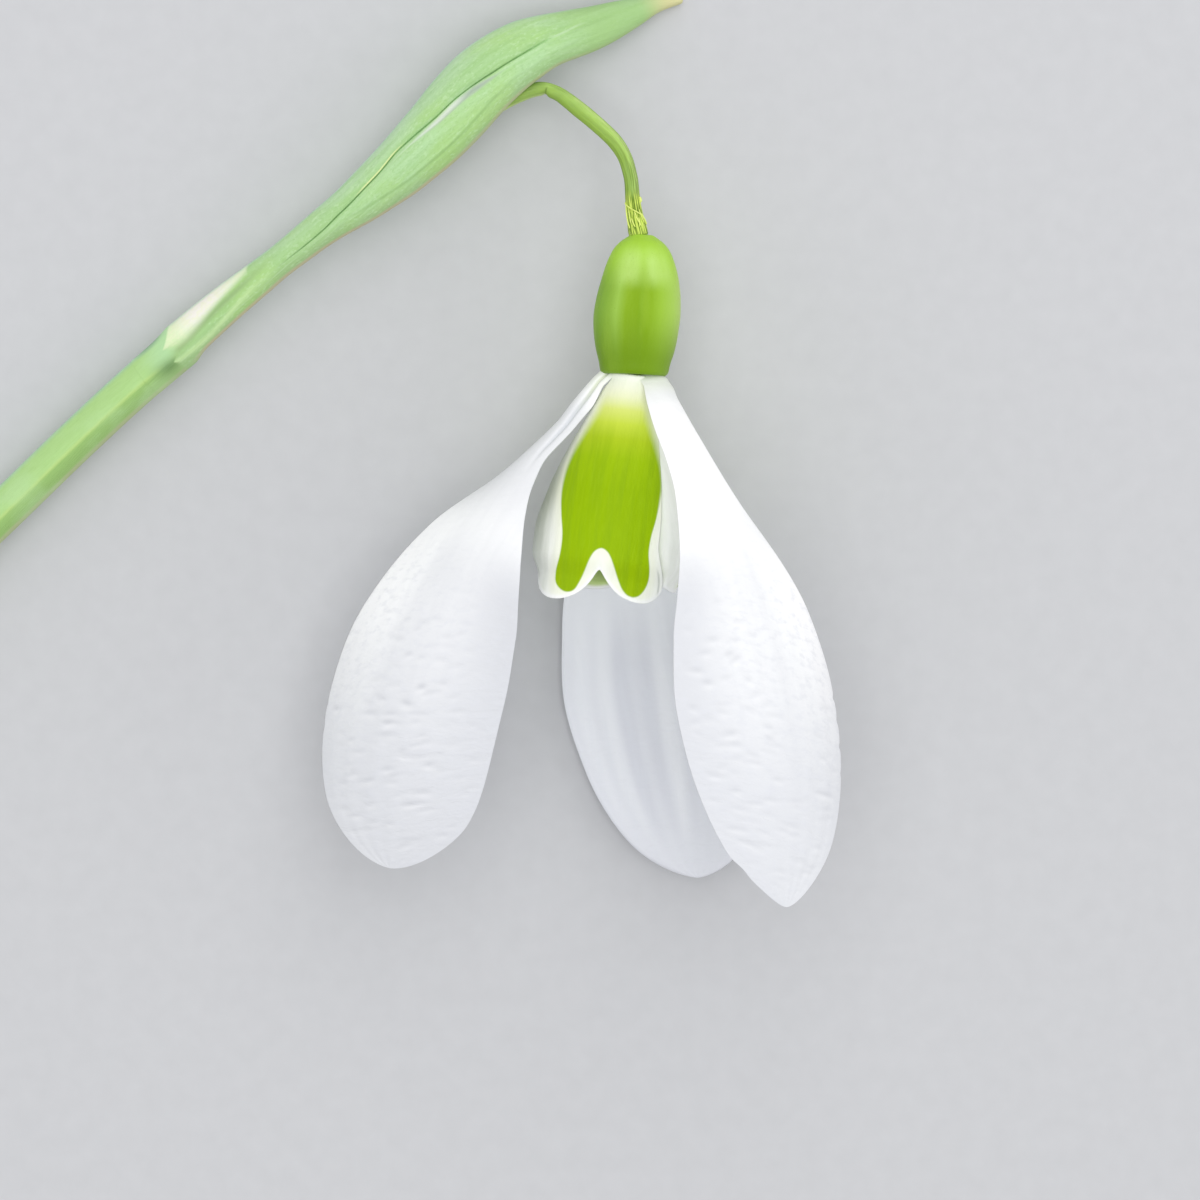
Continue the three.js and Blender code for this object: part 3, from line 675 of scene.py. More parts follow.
# Painted light: the stalk is lighter on the side that faces the light.
colour = blended(scaled(facing, -50, 50), "93b64a", "b9dc78")
stripe = product(scaled(off_by(facing, -12), 4, 24, 1, 0), scaled(share, 0.34, 0.55, 0, 0.7))
colour = tinted(colour, "8aac50", stripe)
colour = tinted(colour, "98b862", share, 0.28, 0.33, 0.75, 0)
colour = tinted(colour, "8fb060", grained(0.9, 3, (1.2, 1.2, 0.45)), 0.42, 0.68, 0, 0.55)
in_shade = product(scaled(share, 0.22, 0.29, 0.7, 0), scaled(facing, -10, 40))
colour = tinted(colour, "6f8f40", in_shade)
glint = product(scaled(off_by(facing, 50), 2, 16, 0.6, 0), scaled(share, 0.36, 0.45))
colour = tinted(colour, "cfe394", glint)
# Painted shade on both flanks, where the stalk turns away.
colour = tinted(colour, "76903f", off_by(facing, 0), 58, 84, 0, 0.45)
under_rim = product(scaled(facing, -48, -66), scaled(share, 0.3, 0.34, 0.8, 0))
colour = tinted(colour, "cfe49a", under_rim)
# Painted shade in the crease of the elbow.
crease = product(scaled(off_by(share, 0.319), 0.001, 0.006, 0.8, 0), scaled(facing, 30, -10))
colour = tinted(colour, "64802f", crease)
fibres = grained(9, 4, (3, 3, 0.25))
colour = tinted(colour, "9dc04c", fibres, 0.4, 0.65, 0, 0.45)
streaks = grained(4, 3, (2.4, 2.4, 0.12))
colour = tinted(colour, "718c34", product(scaled(streaks, 0.44, 0.58, 0, 0.75), scaled(share, 0.55, 0.8)))
strands = grained(7, 3, (3, 3, 0.14))
bare = blended(scaled(strands, 0.42, 0.58), "6c8a22", "cfe467")
surfaced(tinted(colour, bare, marking("frayed")), fibres, 0.4, 0.55)
bumped(strands, 0.00008, 0.8)
fitted(pedicel, pedicel_skin, "stalk_green", "pedicel")

# Loose fibres: where each starts and ends as shares of the way, its turns in degrees from the front
# there, and its half thickness.
LOOSE_FIBRES = [
    (0.872, 0.925, -84, 52, 0.055),
    (0.915, 0.985, 50, 78, 0.045),
    (0.875, 0.985, -70, -50, 0.04),
    (0.864, 0.882, 62, 66, 0.065),
    (0.905, 0.99, 0, 26, 0.035),
    (0.925, 0.985, -26, -12, 0.035),
    (0.93, 0.99, 22, 14, 0.03),
    (0.89, 0.96, -40, -34, 0.03),
    (0.9, 0.97, 34, 52, 0.03),
]
FIBRE_STEPS = 30


def fibre_place(start, end, turn_start, turn_end, thickness):
    def place(u, v):
        angle = 2 * np.pi * u
        share = start + (end - start) * v
        length = np.interp(share, pedicel_rail.shares, pedicel_rail.lengths)
        point, across, front, _ = pedicel_middle(length)
        turn = np.radians(90 + turn_start + (turn_end - turn_start) * v)
        lift = through(even_stations(PEDICEL_RADII), PEDICEL_RADII, share) + 0.01 + 0.03 * np.sin(np.pi * v)
        out = set_out(0, across, front, np.cos(turn), np.sin(turn))
        beside = set_out(0, front, across, np.cos(turn), -np.sin(turn))
        radius = thickness * np.sqrt(np.clip(1 - (2 * v - 1) ** 6, 0, 1))
        points = set_out(point, out, beside, lift + radius * np.cos(angle), radius * np.sin(angle))
        return points, {"grain": grain_round(angle, length, 0.3)}

    return place


fibre_skin, tree, shader = new_skin("loose_fibre_skin", 0.4)
colour = blended(scaled(grained(8, 2, (2, 2, 0.5)), 0.4, 0.6), "cfe45c", "e8f28c")
surfaced(colour, grained(20), 0.4, 0.6)
for number, fibre in enumerate(LOOSE_FIBRES, 1):
    strand = rolled_grid(f"pedicel_fibre_{number}", 10, FIBRE_STEPS, fibre_place(*fibre))
    fitted(strand, fibre_skin, "stalk_green")


# Ovary.
# The swollen green seed case, waxy and faintly ribbed, in one piece with the stalk above it. Its flat
# foot carries the six tepals round its rim, and the style grows from its middle.

OVARY_TOP = (2.0, 18.25, 0)
OVARY_FOOT = (1.7, 11.25, 0)
OVARY_STATIONS = [0, 0.06, 0.12, 0.24, 0.35, 0.46, 0.58, 0.69, 0.81, 0.92, 0.98, 1]
OVARY_RADII = [0.56, 1.14, 1.46, 1.79, 1.98, 2.11, 2.17, 2.12, 1.99, 1.78, 1.69, 1.56]
# Its upper end bows this far to the right.
OVARY_BOW = 0.12
OVARY_ROWS = 130
OVARY_SIDES = 144
CUP_FOOT = (1.6, 11.2, 0)
CUP_TILT = 7
STYLE_LENGTH = 8.2


class Axis:
    """A straight axis through the flower, with directions down it, to the viewer and to the right."""

    def __init__(self, foot, down):
        self.foot = np.array(foot, float)
        self.down = np.array(down, float) / np.linalg.norm(down)
        front = np.array([0, 0, 1]) - self.down * self.down[2]
        self.front = front / np.linalg.norm(front)
        self.right = np.cross(self.front, self.down)

    def out(self, azimuth):
        """The direction out from the axis at an azimuth in degrees, from the viewer to the right."""
        turn = np.radians(azimuth)[..., None]
        return np.cos(turn) * self.front + np.sin(turn) * self.right

    def at(self, distance, azimuth, radius):
        """Points this far down the axis and this far out from it."""
        distance, radius = np.asarray(distance)[..., None], np.asarray(radius)[..., None]
        return self.foot + distance * self.down + radius * self.out(azimuth)


def leaning_down(tilt):
    return (-math.sin(math.radians(tilt)), -math.cos(math.radians(tilt)), 0)


ovary_axis = Axis(OVARY_FOOT, np.subtract(OVARY_FOOT, OVARY_TOP))
cup_axis = Axis(CUP_FOOT, leaning_down(CUP_TILT))
ovary_length = math.dist(OVARY_TOP, OVARY_FOOT)
ovary_shares = np.concatenate([
    [0.015, 0.005, 0, 0], np.linspace(0.004, 0.99, OVARY_ROWS - 9), [0.996, 1, 1, 1, 1],
])
ovary_fullness = np.concatenate([[0, 0.5, 0.82, 0.95], np.ones(OVARY_ROWS - 9), [1, 0.98, 0.85, 0.4, 0]])
# Azimuths of the three faint lines down it.
OVARY_LINES = [-116, 4, 124]


def ovary_place(u, v):
    azimuth = 360 * u
    share, full = along_rows(v, ovary_shares), along_rows(v, ovary_fullness)
    line = np.min([np.abs((azimuth - line + 180) % 360 - 180) for line in OVARY_LINES], axis=0)
    groove = 0.012 * hump(line, 6) * np.sin(np.pi * share)
    radius = np.where(full == 0, 0, through(OVARY_STATIONS, OVARY_RADII, share) * full - groove)
    points = ovary_axis.at((share - 1) * ovary_length, azimuth, radius)
    return points + ovary_axis.right * (OVARY_BOW * eased((0.7 - share) / 0.45))[:, None], {
        "grain": grain_round(2 * np.pi * u, share * ovary_length, 2),
        "line": line,
        "azimuth": (azimuth + 180) % 360 - 180,
        "share": share,
    }


ovary = rolled_grid("ovary", OVARY_SIDES, len(ovary_shares) - 1, ovary_place)
ovary_skin, tree, shader = new_skin("ovary_skin", 0.12)
share, azimuth, line = marking("share"), marking("azimuth"), marking("line")
# Its green round the front: its own tones, lighter towards the right side with painted light.
colour = graded(
    scaled(azimuth, -100, 100, ease="LINEAR"), (0.05, "7da63a"), (0.22, "82ac3c"), (0.3, "8cb440"),
    (0.355, "9cc450"), (0.42, "86ac20"), (0.5, "7ea40c"), (0.57, "82a912"), (0.66, "98c03a"),
    (0.78, "a8cd5a"), (0.94, "bcd87c"),
)
colour = tinted(colour, "76a010", line, 0, 5, 0.4, 0)
# Painted light: lighter towards the top with a painted highlight on its upper front; painted shade darkens it
# towards the foot.
colour = tinted(colour, "abd846", share, 0.12, 0.42, 0.9, 0)
top_highlight = product(
    scaled(off_by(share, 0.24), 0.02, 0.19, 1, 0), scaled(off_by(azimuth, 4), 15, 62, 1, 0),
    scaled(grained(0.8, 2), 0.3, 0.7, 0.5, 0.8), scaled(line, 0, 16, 0.45, 1),
)
colour = tinted(colour, "c9ea90", top_highlight)
colour = tinted(colour, "6c9014", share, 0.5, 0.95, 0, 0.85)
colour = tinted(colour, "a4c84a", grained(0.9, 3, (1.4, 1.4, 0.25)), 0.45, 0.68, 0, 0.2)
flecks = grained(11, 2)
surfaced(tinted(colour, "7f9f2a", flecks, 0.62, 0.75, 0, 0.3), flecks, 0.4, 0.52)
bumped(grained(9, 4, (1, 1, 0.5)), 0.00003, 0.6)
fitted(ovary, ovary_skin, "ovary_green", "ovary")


def style_place(u, v):
    rows = 30
    distance = [-0.1, -0.1, 0, *np.linspace(0.2, STYLE_LENGTH * 0.94, rows), STYLE_LENGTH, STYLE_LENGTH]
    distance = along_rows(v, distance)
    radius = along_rows(v, [0, 0.25, 0.24, *np.linspace(0.21, 0.17, rows), 0.09, 0])
    return cup_axis.at(distance, 360 * u, radius), {
        "grain": grain_round(2 * np.pi * u, distance),
        "share": distance / STYLE_LENGTH,
    }


style = rolled_grid("style", 24, 34, style_place)
style_skin, tree, shader = new_skin("style_skin", 0.35)
colour = blended(scaled(marking("share"), 0.1, 0.9), "c9dc8c", "eef0dc")
colour = tinted(colour, "bcd07c", grained(4, 3, (1, 1, 0.3)), 0.4, 0.65, 0, 0.4)
surfaced(colour, grained(6), 0.4, 0.55)
fitted(style, style_skin, "ovary_green")


# Stamens.
# Six pointed orange anthers, each of two pollen sacs side by side, on short pale filaments. They
# stand in a ring round the style and close in on it like a cone.

ANTHERS = 6
# Millimetres down the cup's axis where each part starts and ends, and out from it from foot to tip.
ANTHER_REACH, ANTHER_RING = [1.5, 7.0], [1.0, 0.72]
ANTHER_WIDTH, ANTHER_DEPTH = 0.39, 0.85
ANTHER_FULLNESS = [
    0, 0.3, 0.62, 0.86, 0.95, 0.99, 1, 1, 0.99, 0.97, 0.93, 0.87, 0.8, 0.7, 0.57, 0.4, 0.25, 0.12, 0.06, 0,
]
FILAMENT_REACH, FILAMENT_RING = [0.35, 1.85], [0.5, 0.86, 1.0]


def anther_section(angle, v):
    """Half widths out from the cup's axis and beside it, with a furrow between the two sacs."""
    sacs = ANTHER_WIDTH * through(even_stations(ANTHER_FULLNESS), ANTHER_FULLNESS, v)
    sacs = sacs * (1 - 0.24 * np.abs(np.cos(angle)) ** 6)
    return ANTHER_DEPTH * sacs, sacs


def filament_section(angle, v):
    radius = np.interp(v, [0, 0.02, 0.5, 0.98, 1], [0, 0.16, 0.13, 0.12, 0])
    return radius, radius


def stamen_place(azimuth, reach, ring, section):
    """A slim limb that stands beside the style at an azimuth, with a section of its own."""
    def place(u, v):
        angle = 2 * np.pi * u
        distance = along_rows(v, reach)
        out, beside = (cup_axis.out(np.full_like(v, azimuth + turn)) for turn in (0, 90))
        middle = cup_axis.at(distance, np.full_like(v, azimuth), along_rows(v, ring))
        outwards, sideways = section(angle, v)
        points = set_out(middle, out, beside, outwards * np.cos(angle), sideways * np.sin(angle))
        return points, {"grain": grain_round(angle, distance), "share": v}

    return place


def stamen_ring_place(u, v):
    depth = along_rows(v, [0.3, 0.3, 0.33, 0.6, 0.66, 0.66, 0.6, 0.33, 0.3])
    radius = along_rows(v, [0.5, 0.64, 0.68, 0.68, 0.6, 0.42, 0.37, 0.37, 0.5])
    return cup_axis.at(depth, 360 * u, radius), {"grain": grain_round(2 * np.pi * u, depth), "share": v}


anther_skin, tree, shader = new_skin("anther_skin", 0.3)
colour = blended(scaled(marking("share"), 0.05, 0.95), "e8a93a", "c98a2e")
pollen = grained(9, 4)
surfaced(tinted(colour, "f0c45c", pollen, 0.45, 0.62, 0, 0.6), pollen, 0.6, 0.85)
bumped(pollen, 0.00004, 0.8)
filament_skin, tree, shader = new_skin("filament_skin", 0.35)
colour = blended(scaled(grained(5, 3, (1, 1, 0.3)), 0.4, 0.62), "e9efcf", "d5e2a8")
surfaced(colour, grained(8), 0.45, 0.6)

stamen_ring = rolled_grid("stamen_ring", 48, 8, stamen_ring_place)
fitted(stamen_ring, filament_skin, "anther_orange", "stamens")
for number in range(1, ANTHERS + 1):
    azimuth = 360 * (number - 0.5) / ANTHERS
    place = stamen_place(azimuth, ANTHER_REACH, ANTHER_RING, anther_section)
    fitted(rolled_grid(f"anther_{number}", 28, 60, place), anther_skin, "anther_orange")
    place = stamen_place(azimuth, FILAMENT_REACH, FILAMENT_RING, filament_section)
    fitted(rolled_grid(f"filament_{number}", 14, 16, place), filament_skin, "anther_orange")


# Inner tepals.
# Three short, thick, notched tepals that stand edge to edge as a cup. They are white at the rim and
# carry a large green mark, which fades through yellow to white where the tepal joins the seed case.

CUP_STATIONS = [0.3, 1.1, 2.5, 3.9, 6.2, 8.2, 9.2, 10.4, 11.5]
CUP_RADII = [1.25, 1.6, 2.2, 2.76, 3.52, 3.92, 3.92, 3.55, 3.65]
CUP_LEFT_EDGE = [-48, -63, -66, -70, -70, -70, -67, -60, -57]
CUP_RIGHT_EDGE = [48, 52, 53, 50, 47, 44, 48, 59, 58]
CUP_DEPTH = 11.5
NOTCH_DEPTH = 1.95
NOTCH_WIDTH = 0.2
INNER_THICKNESS = 0.34
INNER_COLUMNS = 120
INNER_ROWS = 170
# For each: how many degrees its margins reach past its edges, from which depth; how deep they tuck in
# under a neighbour, and over how many degrees on the right; how far the mark lies to the right; how
# much shorter it is at its left and right, and where that changes; and how strongly painted shade
# greys its left side.
INNER_TEPALS = [
    {
        "name": "inner_tepal_front", "azimuth": -7, "past": (13, 0), "past_from": 3, "tuck": (0, 0),
        "tucked": 16, "mark_shift": 0, "shorter": (0, 0, 0), "left_shade": 1,
    },
    {
        "name": "inner_tepal_right", "azimuth": 113, "past": (17, 6), "past_from": -2.5, "tuck": (0.42, 0),
        "tucked": 16, "mark_shift": 0.55, "shorter": (1.0, 0.5, 0.35), "left_shade": 0,
    },
    {
        "name": "inner_tepal_left", "azimuth": -127, "past": (15, 8), "past_from": -2.5,
        "tuck": (0.42, 0.45), "tucked": 48, "mark_shift": -0.2, "shorter": (0.7, 0, 0), "left_shade": 0,
    },
]
# Degrees over which every left margin tucks in.
LEFT_TUCKED = 16
# Where the tepals start, in millimetres down the cup's axis: right under the seed case's foot.
CUP_ROOT = -0.03
# Outline of the green mark on the unrolled tepal: millimetres across from its middle, and down it.
MARK_OUTLINE = [
    (-1.2, 0.7), (-1.6, 1.9), (-2.15, 3.0), (-2.62, 4.0), (-2.88, 5.0), (-2.82, 6.2), (-2.5, 7.3),
    (-2.24, 8.3), (-2.24, 9.3), (-2.46, 10.1), (-2.42, 10.65), (-2.08, 10.98), (-1.62, 11.12), (-1.2, 10.98),
    (-0.95, 10.55), (-0.72, 9.95), (-0.5, 9.32), (-0.3, 8.95), (0.0, 8.78), (0.3, 8.9), (0.53, 9.2),
    (0.74, 9.65), (0.93, 10.12), (1.2, 10.62), (1.52, 10.92), (1.85, 11.0), (2.2, 10.88), (2.5, 10.5),
    (2.65, 10.0), (2.62, 9.45), (2.47, 8.7), (2.5, 7.9), (2.66, 7.0), (2.75, 6.1), (2.8, 5.3),
    (2.65, 4.4), (2.3, 3.5), (1.8, 2.5), (1.4, 1.6), (1.1, 0.7),
]


def rim_depth(side):
    """How far down the cup the rim lies, for a place across the tepal from -1 to 1."""
    notch = NOTCH_DEPTH * np.exp(-np.sqrt(side**2 + 0.0007) / NOTCH_WIDTH)
    left_lobe = CUP_DEPTH + 0.22 - 1.3 * np.abs(side) ** 4.5
    right_lobe = CUP_DEPTH - 0.12 - 0.9 * np.abs(side) ** 6
    return right_lobe + (left_lobe - right_lobe) * eased(0.5 - side / 0.4) - notch


def outline_distance(across, down, outline):
    """How far inside a smooth closed outline each point lies, and less than 0 outside it."""
    corners = np.array(outline)
    smooth = []
    for i in range(len(corners)):
        a, b, c, d = (corners[(i + k - 1) % len(corners)] for k in range(4))
        t = np.linspace(0, 1, 6, endpoint=False)[:, None]
        turning = 2 * b + (c - a) * t + (2 * a - 5 * b + 4 * c - d) * t**2
        smooth.append(0.5 * (turning + (3 * b - a - 3 * c + d) * t**3))
    line = np.vstack(smooth)
    point = np.stack([across, down], -1)
    nearest = np.full(len(point), 1e9)
    crossings = np.zeros(len(point), int)
    for a, b in zip(line, np.roll(line, -1, 0)):
        step = b - a
        share = np.clip(((point - a) @ step) / (step @ step), 0, 1)
        nearest = np.minimum(nearest, np.linalg.norm(point - a - share[:, None] * step, axis=1))
        spans = (a[1] > point[:, 1]) != (b[1] > point[:, 1])
        if spans.any():
            meets = a[0] + (point[:, 1] - a[1]) * step[0] / (step[1] if step[1] else 1e-9)
            crossings += spans & (point[:, 0] < meets)
    return np.where(crossings % 2 == 1, nearest, -nearest)


def inner_tepal_place(tepal):
    def place(u, v):
        outside, even = front_and_back(u)
        side = np.sign(even) * np.abs(even) ** 1.15
        short_left, short_right, changes_at = tepal["shorter"]
        changed = eased((side - changes_at) / 0.6 + 0.5)
        rim = rim_depth(side) - short_left - (short_right - short_left) * changed
        distance = CUP_ROOT + (rim - CUP_ROOT) * (1 - (1 - v) ** 1.25)
        to_rim = rim - distance
        past_left, past_right = (past * eased((distance - tepal["past_from"]) / 4) for past in tepal["past"])
        left = past_left - through(CUP_STATIONS, CUP_LEFT_EDGE, distance)
        right = past_right + through(CUP_STATIONS, CUP_RIGHT_EDGE, distance)
        reach = np.where(side < 0, left, right)
        tucked = np.where(side < 0, LEFT_TUCKED, tepal["tucked"])
        tuck = np.where(side < 0, *tepal["tuck"]) * (1 + 1.2 * eased((distance - 8) / 2.5))
        tuck = tuck * eased((np.abs(side) * reach - reach + tucked + 6) / tucked)
        radius = through(CUP_STATIONS, CUP_RADII, distance)
        across = np.radians(reach * side) * radius
        body = np.sqrt(np.clip(1 - np.abs(side) ** 8, 0, 1)) * np.sqrt(np.clip(to_rim / 0.35, 0, 1)) ** 0.8
        thick = INNER_THICKNESS * body * np.sqrt(np.clip((distance - CUP_ROOT) / 0.04, 0, 1))
        ribs = 0.007 * np.cos(2 * np.pi * across / 0.62) * eased((distance - 2) / 3)
        ribs = ribs * eased(to_rim / 1.5) * eased((1 - np.abs(side)) * 4)
        flute = 0.042 * hump(side, 0.1) * eased((distance - 5) / 4)
        outer = radius - tuck - 0.03 + ribs - flute
        mark = outline_distance(across - tepal["mark_shift"], distance, MARK_OUTLINE)
        skin = np.where(outside, outer, outer - thick)
        return cup_axis.at(distance, tepal["azimuth"] + reach * side, skin), {
            "grain": np.stack([across, distance, np.where(outside, 0, 3)], -1),
            "mark": np.minimum(mark, to_rim - 0.2),
            "down": distance,
            "to_rim": to_rim,
            "to_side": (1 - np.abs(side)) * np.radians(reach) * radius,
            "left_shade": tepal["left_shade"] * hump(distance - 6.3, 3.3) * eased(-side * 2.6 - 0.95),
            "inside": np.where(outside, 0, 1),
        }

    return place


inner_skin, tree, shader = new_skin("inner_tepal_skin", 0.06)
down, mark, inside, to_rim = (marking(name) for name in ("down", "mark", "inside", "to_rim"))
edge = node("Math", {"operation": "DIVIDE"}, n0=mark, n1=scaled(down, 1.6, 7.4, 0.6, 0.06))
inside_green = product(inside, scaled(mark, -1.6, -0.8), scaled(to_rim, 0.08, 0.3))
green_share = node("Math", {"operation": "MAXIMUM"}, n0=scaled(edge, -0.6, 1), n1=inside_green)
white = blended(scaled(grained(1.6, 3, (1.6, 0.25, 1)), 0.35, 0.7, 0, 0.45), "fdfff8", "eef2e6")
# Painted shade on the front tepal's left margin.
white = tinted(white, "b7bdac", marking("left_shade"))
white = tinted(white, "ecf0d0", mark, -0.8, 0, 0, 0.5)
# Painted shade in a thin line inside the rolled rim of the lobes.
off_roll = off_by(marking("to_side"), 0.3)
white = tinted(white, "b9bdb4", product(scaled(off_roll, 0.02, 0.12, 0.6, 0), scaled(down, 9.3, 9.9)))
# Painted highlight along the rim, where the thick edge catches the light.
white = tinted(white, "fcfdfb", to_rim, 0.05, 0.3, 0.9, 0)
green = graded(
    scaled(down, 0.3, 11.3, ease="LINEAR"), (0.02, "eef1d4"), (0.075, "ebf0c6"), (0.135, "d8e478"),
    (0.2, "c6da46"), (0.27, "aec824"), (0.36, "9bbe0e"), (0.5, "93b704"), (0.75, "94b803"), (1, "98b804"),
)
coloured = scaled(down, 1.8, 4.5)
stripes = grained(1, 2, (1.7, 0.14, 1))
green = tinted(green, "86ab12", product(scaled(stripes, 0.42, 0.64, 0, 0.42), coloured))
fine = grained(6, 3, (1.4, 0.2, 1))
green = tinted(green, "b4d436", product(scaled(fine, 0.45, 0.7, 0, 0.08), coloured))
green = tinted(green, "cfe59a", inside)
surfaced(blended(green_share, white, green), fine, 0.42, 0.55)
bumped(grained(5, 4, (1.6, 0.25, 1)), 0.00004, 0.7)
for tepal in INNER_TEPALS:
    piece = rolled_grid(tepal["name"], 2 * INNER_COLUMNS, INNER_ROWS, inner_tepal_place(tepal))
    fitted(piece, inner_skin, "cup_white_green", tepal["name"])


# Outer tepals.
# Three long white spoon-shaped tepals on narrow channelled claws, which hang round the cup. The two
# in front turn their puckered backs to the viewer; the rear one shows its smooth grooved inside.

TEPAL_AXIS_TILT = 4
# Where each tepal's length is counted from: millimetres out from the axis, and below the seed case.
TEPAL_ROOT_RADIUS = 1.7
TEPAL_ROOT_GAP = 0.3
# Each claw runs back from there by this many millimetres, into the seed case's foot.
TEPAL_ROOT_REACH = 0.8
# Shares of the tepal's length where its claw's stray to the viewer's right is given, in millimetres.
STRAY_STATIONS = [0, 0.06, 0.12, 0.2, 0.3, 0.42]
# The tepal's twist is complete at this share of its length.
TURN_END = 0.6
WIDTH_STATIONS = [0, 0.05, 0.11, 0.17, 0.23, 0.29, 0.36, 0.43, 0.5, 0.64, 0.78, 0.9, 1]
OUTER_THICKNESS = 0.36
# Its back is dented in rows and wrinkled here and there: how many of each, with half their heights.
DENT_ROWS, DENT_HALF_HEIGHT = 22, 0.16
WRINKLES, WRINKLE_HALF_HEIGHT = 70, 0.13
OUTER_COLUMNS = 110
OUTER_ROWS = 330
# For each: its turns in degrees out from the axis and to the side at its root, middle and tip, and the
# twist at its root and tip; radii of its claw's channel and of its cup; half widths at the stations
# above, to either side; how grey its claw is, and its low margin, middle and high margin; the slope of
# its dents, and where they are deepest; its nicks: share of the length, side, depth and width.
OUTER_TEPALS = [
    {
        "name": "outer_tepal_right", "azimuth": 42, "length": 28.6,
        "spread": (56, 17, -5), "sway": (10, -9.5, -5), "turn": (-15, -9),
        "low_widths": [1.12, 0.68, 0.62, 0.74, 1.0, 1.48, 2.38, 3.25, 4.2, 5.3, 5.6, 5.5, 4.2],
        "high_widths": [0.7, 1.1, 1.42, 1.6, 1.85, 2.3, 2.95, 3.8, 4.6, 5.5, 5.7, 5.7, 4.2],
        "claw_radius": 1.5, "cup_radius": 7.7, "claw_end": 0.45, "tip_power": 5, "tip_fullness": 0.63,
        "claw_stray": [0] * 6, "claw_groove": 0, "claw_shade": -1, "shaded": (-1, 0.25, 0.8),
        "dent_slope": -0.28, "dented_at": (2.8, 0.6), "grooves": 0.4, "seed": 3,
        "nicks": [
            (0.66, -1, 0.035, 0.006), (0.70, -1, 0.03, 0.008), (0.745, -1, 0.035, 0.006),
            (0.79, -1, 0.02, 0.006), (0.93, 1, 0.05, 0.016),
        ],
    },
    {
        "name": "outer_tepal_left", "azimuth": -78, "length": 28,
        "spread": (44, 19, -12.5), "sway": (2.5, 5, 21), "turn": (20, 51.5),
        "low_widths": [0.72, 1.0, 0.9, 0.87, 1.3, 2.1, 3.15, 3.9, 4.5, 5.05, 5.15, 5.2, 4.5],
        "high_widths": [0.95, 0.9, 0.82, 0.94, 1.4, 2.2, 2.95, 3.7, 4.3, 5.3, 5.6, 5.5, 4.5],
        "claw_radius": 0.9, "cup_radius": 9, "claw_end": 0.38, "tip_power": 10.5, "tip_fullness": 0.6,
        "claw_stray": [-0.25, -0.02, 0.22, 0.12, 0, 0], "claw_groove": 0.16, "claw_shade": 0.45,
        "shaded": (0.85, 0.45, -0.5), "dent_slope": 0.3, "dented_at": (-0.4, 0.66), "grooves": 0.4, "seed": 8,
        "nicks": [(0.78, 1, 0.012, 0.008), (0.74, 1, 0.01, 0.006)],
    },
    {
        "name": "outer_tepal_back", "azimuth": 162, "length": 27.8,
        "spread": (48, 19, -1), "sway": (-15, 7.5, 8), "turn": (0, 0),
        "low_widths": [0.6, 0.65, 0.78, 0.95, 1.4, 2.6, 3.9, 4.9, 5.4, 6.0, 5.6, 5.1, 4.9],
        "high_widths": [0.6, 0.65, 0.78, 0.95, 1.4, 2.6, 3.9, 4.9, 5.4, 6.0, 5.6, 5.1, 4.9],
        "claw_radius": 0.9, "cup_radius": 7.1, "claw_end": 0.45, "tip_power": 10.7, "tip_fullness": 0.67,
        "claw_stray": [0] * 6, "claw_groove": 0.1, "claw_shade": 0, "shaded": (0, 0, 0),
        "dent_slope": 0, "dented_at": (0, 0.62), "grooves": 1.0, "seed": 5,
        "nicks": [],
    },
]
tepal_axis = Axis(OVARY_FOOT, leaning_down(TEPAL_AXIS_TILT))


def bend(values, t):
    """Value at t of the parabola with this start, middle and end."""
    start, middle, end = values
    return start * (1 - t) * (1 - 2 * t) + 4 * middle * t * (1 - t) + end * t * (2 * t - 1)


def midrib(tepal, steps=400):
    """Points down the middle of a tepal's back, with the directions across it and out of its back."""
    azimuth = np.array(float(tepal["azimuth"]))
    out = tepal_axis.out(azimuth)
    across = np.cross(tepal_axis.down, out)
    point = tepal_axis.at(TEPAL_ROOT_GAP, azimuth, TEPAL_ROOT_RADIUS)
    points, sides, backs = [], [], []
    for t in np.linspace(0, 1, steps + 1):
        spread, sway = math.radians(bend(tepal["spread"], t)), math.radians(bend(tepal["sway"], t))
        heading = tepal_axis.down * math.cos(spread) * math.cos(sway)
        heading = heading + out * math.sin(spread) * math.cos(sway) + across * math.sin(sway)
        if t > 0:
            point = point + heading * tepal["length"] / steps
        side = across - heading * (heading @ across)
        side = side / np.linalg.norm(side)
        back = -np.cross(side, heading)
        if back @ out < 0:
            back = -back
        first, last = tepal["turn"]
        turn = math.radians(first + (last - first) * float(eased(t / TURN_END)))
        points.append(point)
        sides.append(side * math.cos(turn) + back * math.sin(turn))
        backs.append(back * math.cos(turn) - side * math.sin(turn))
    return np.array(points), np.array(sides), np.array(backs)


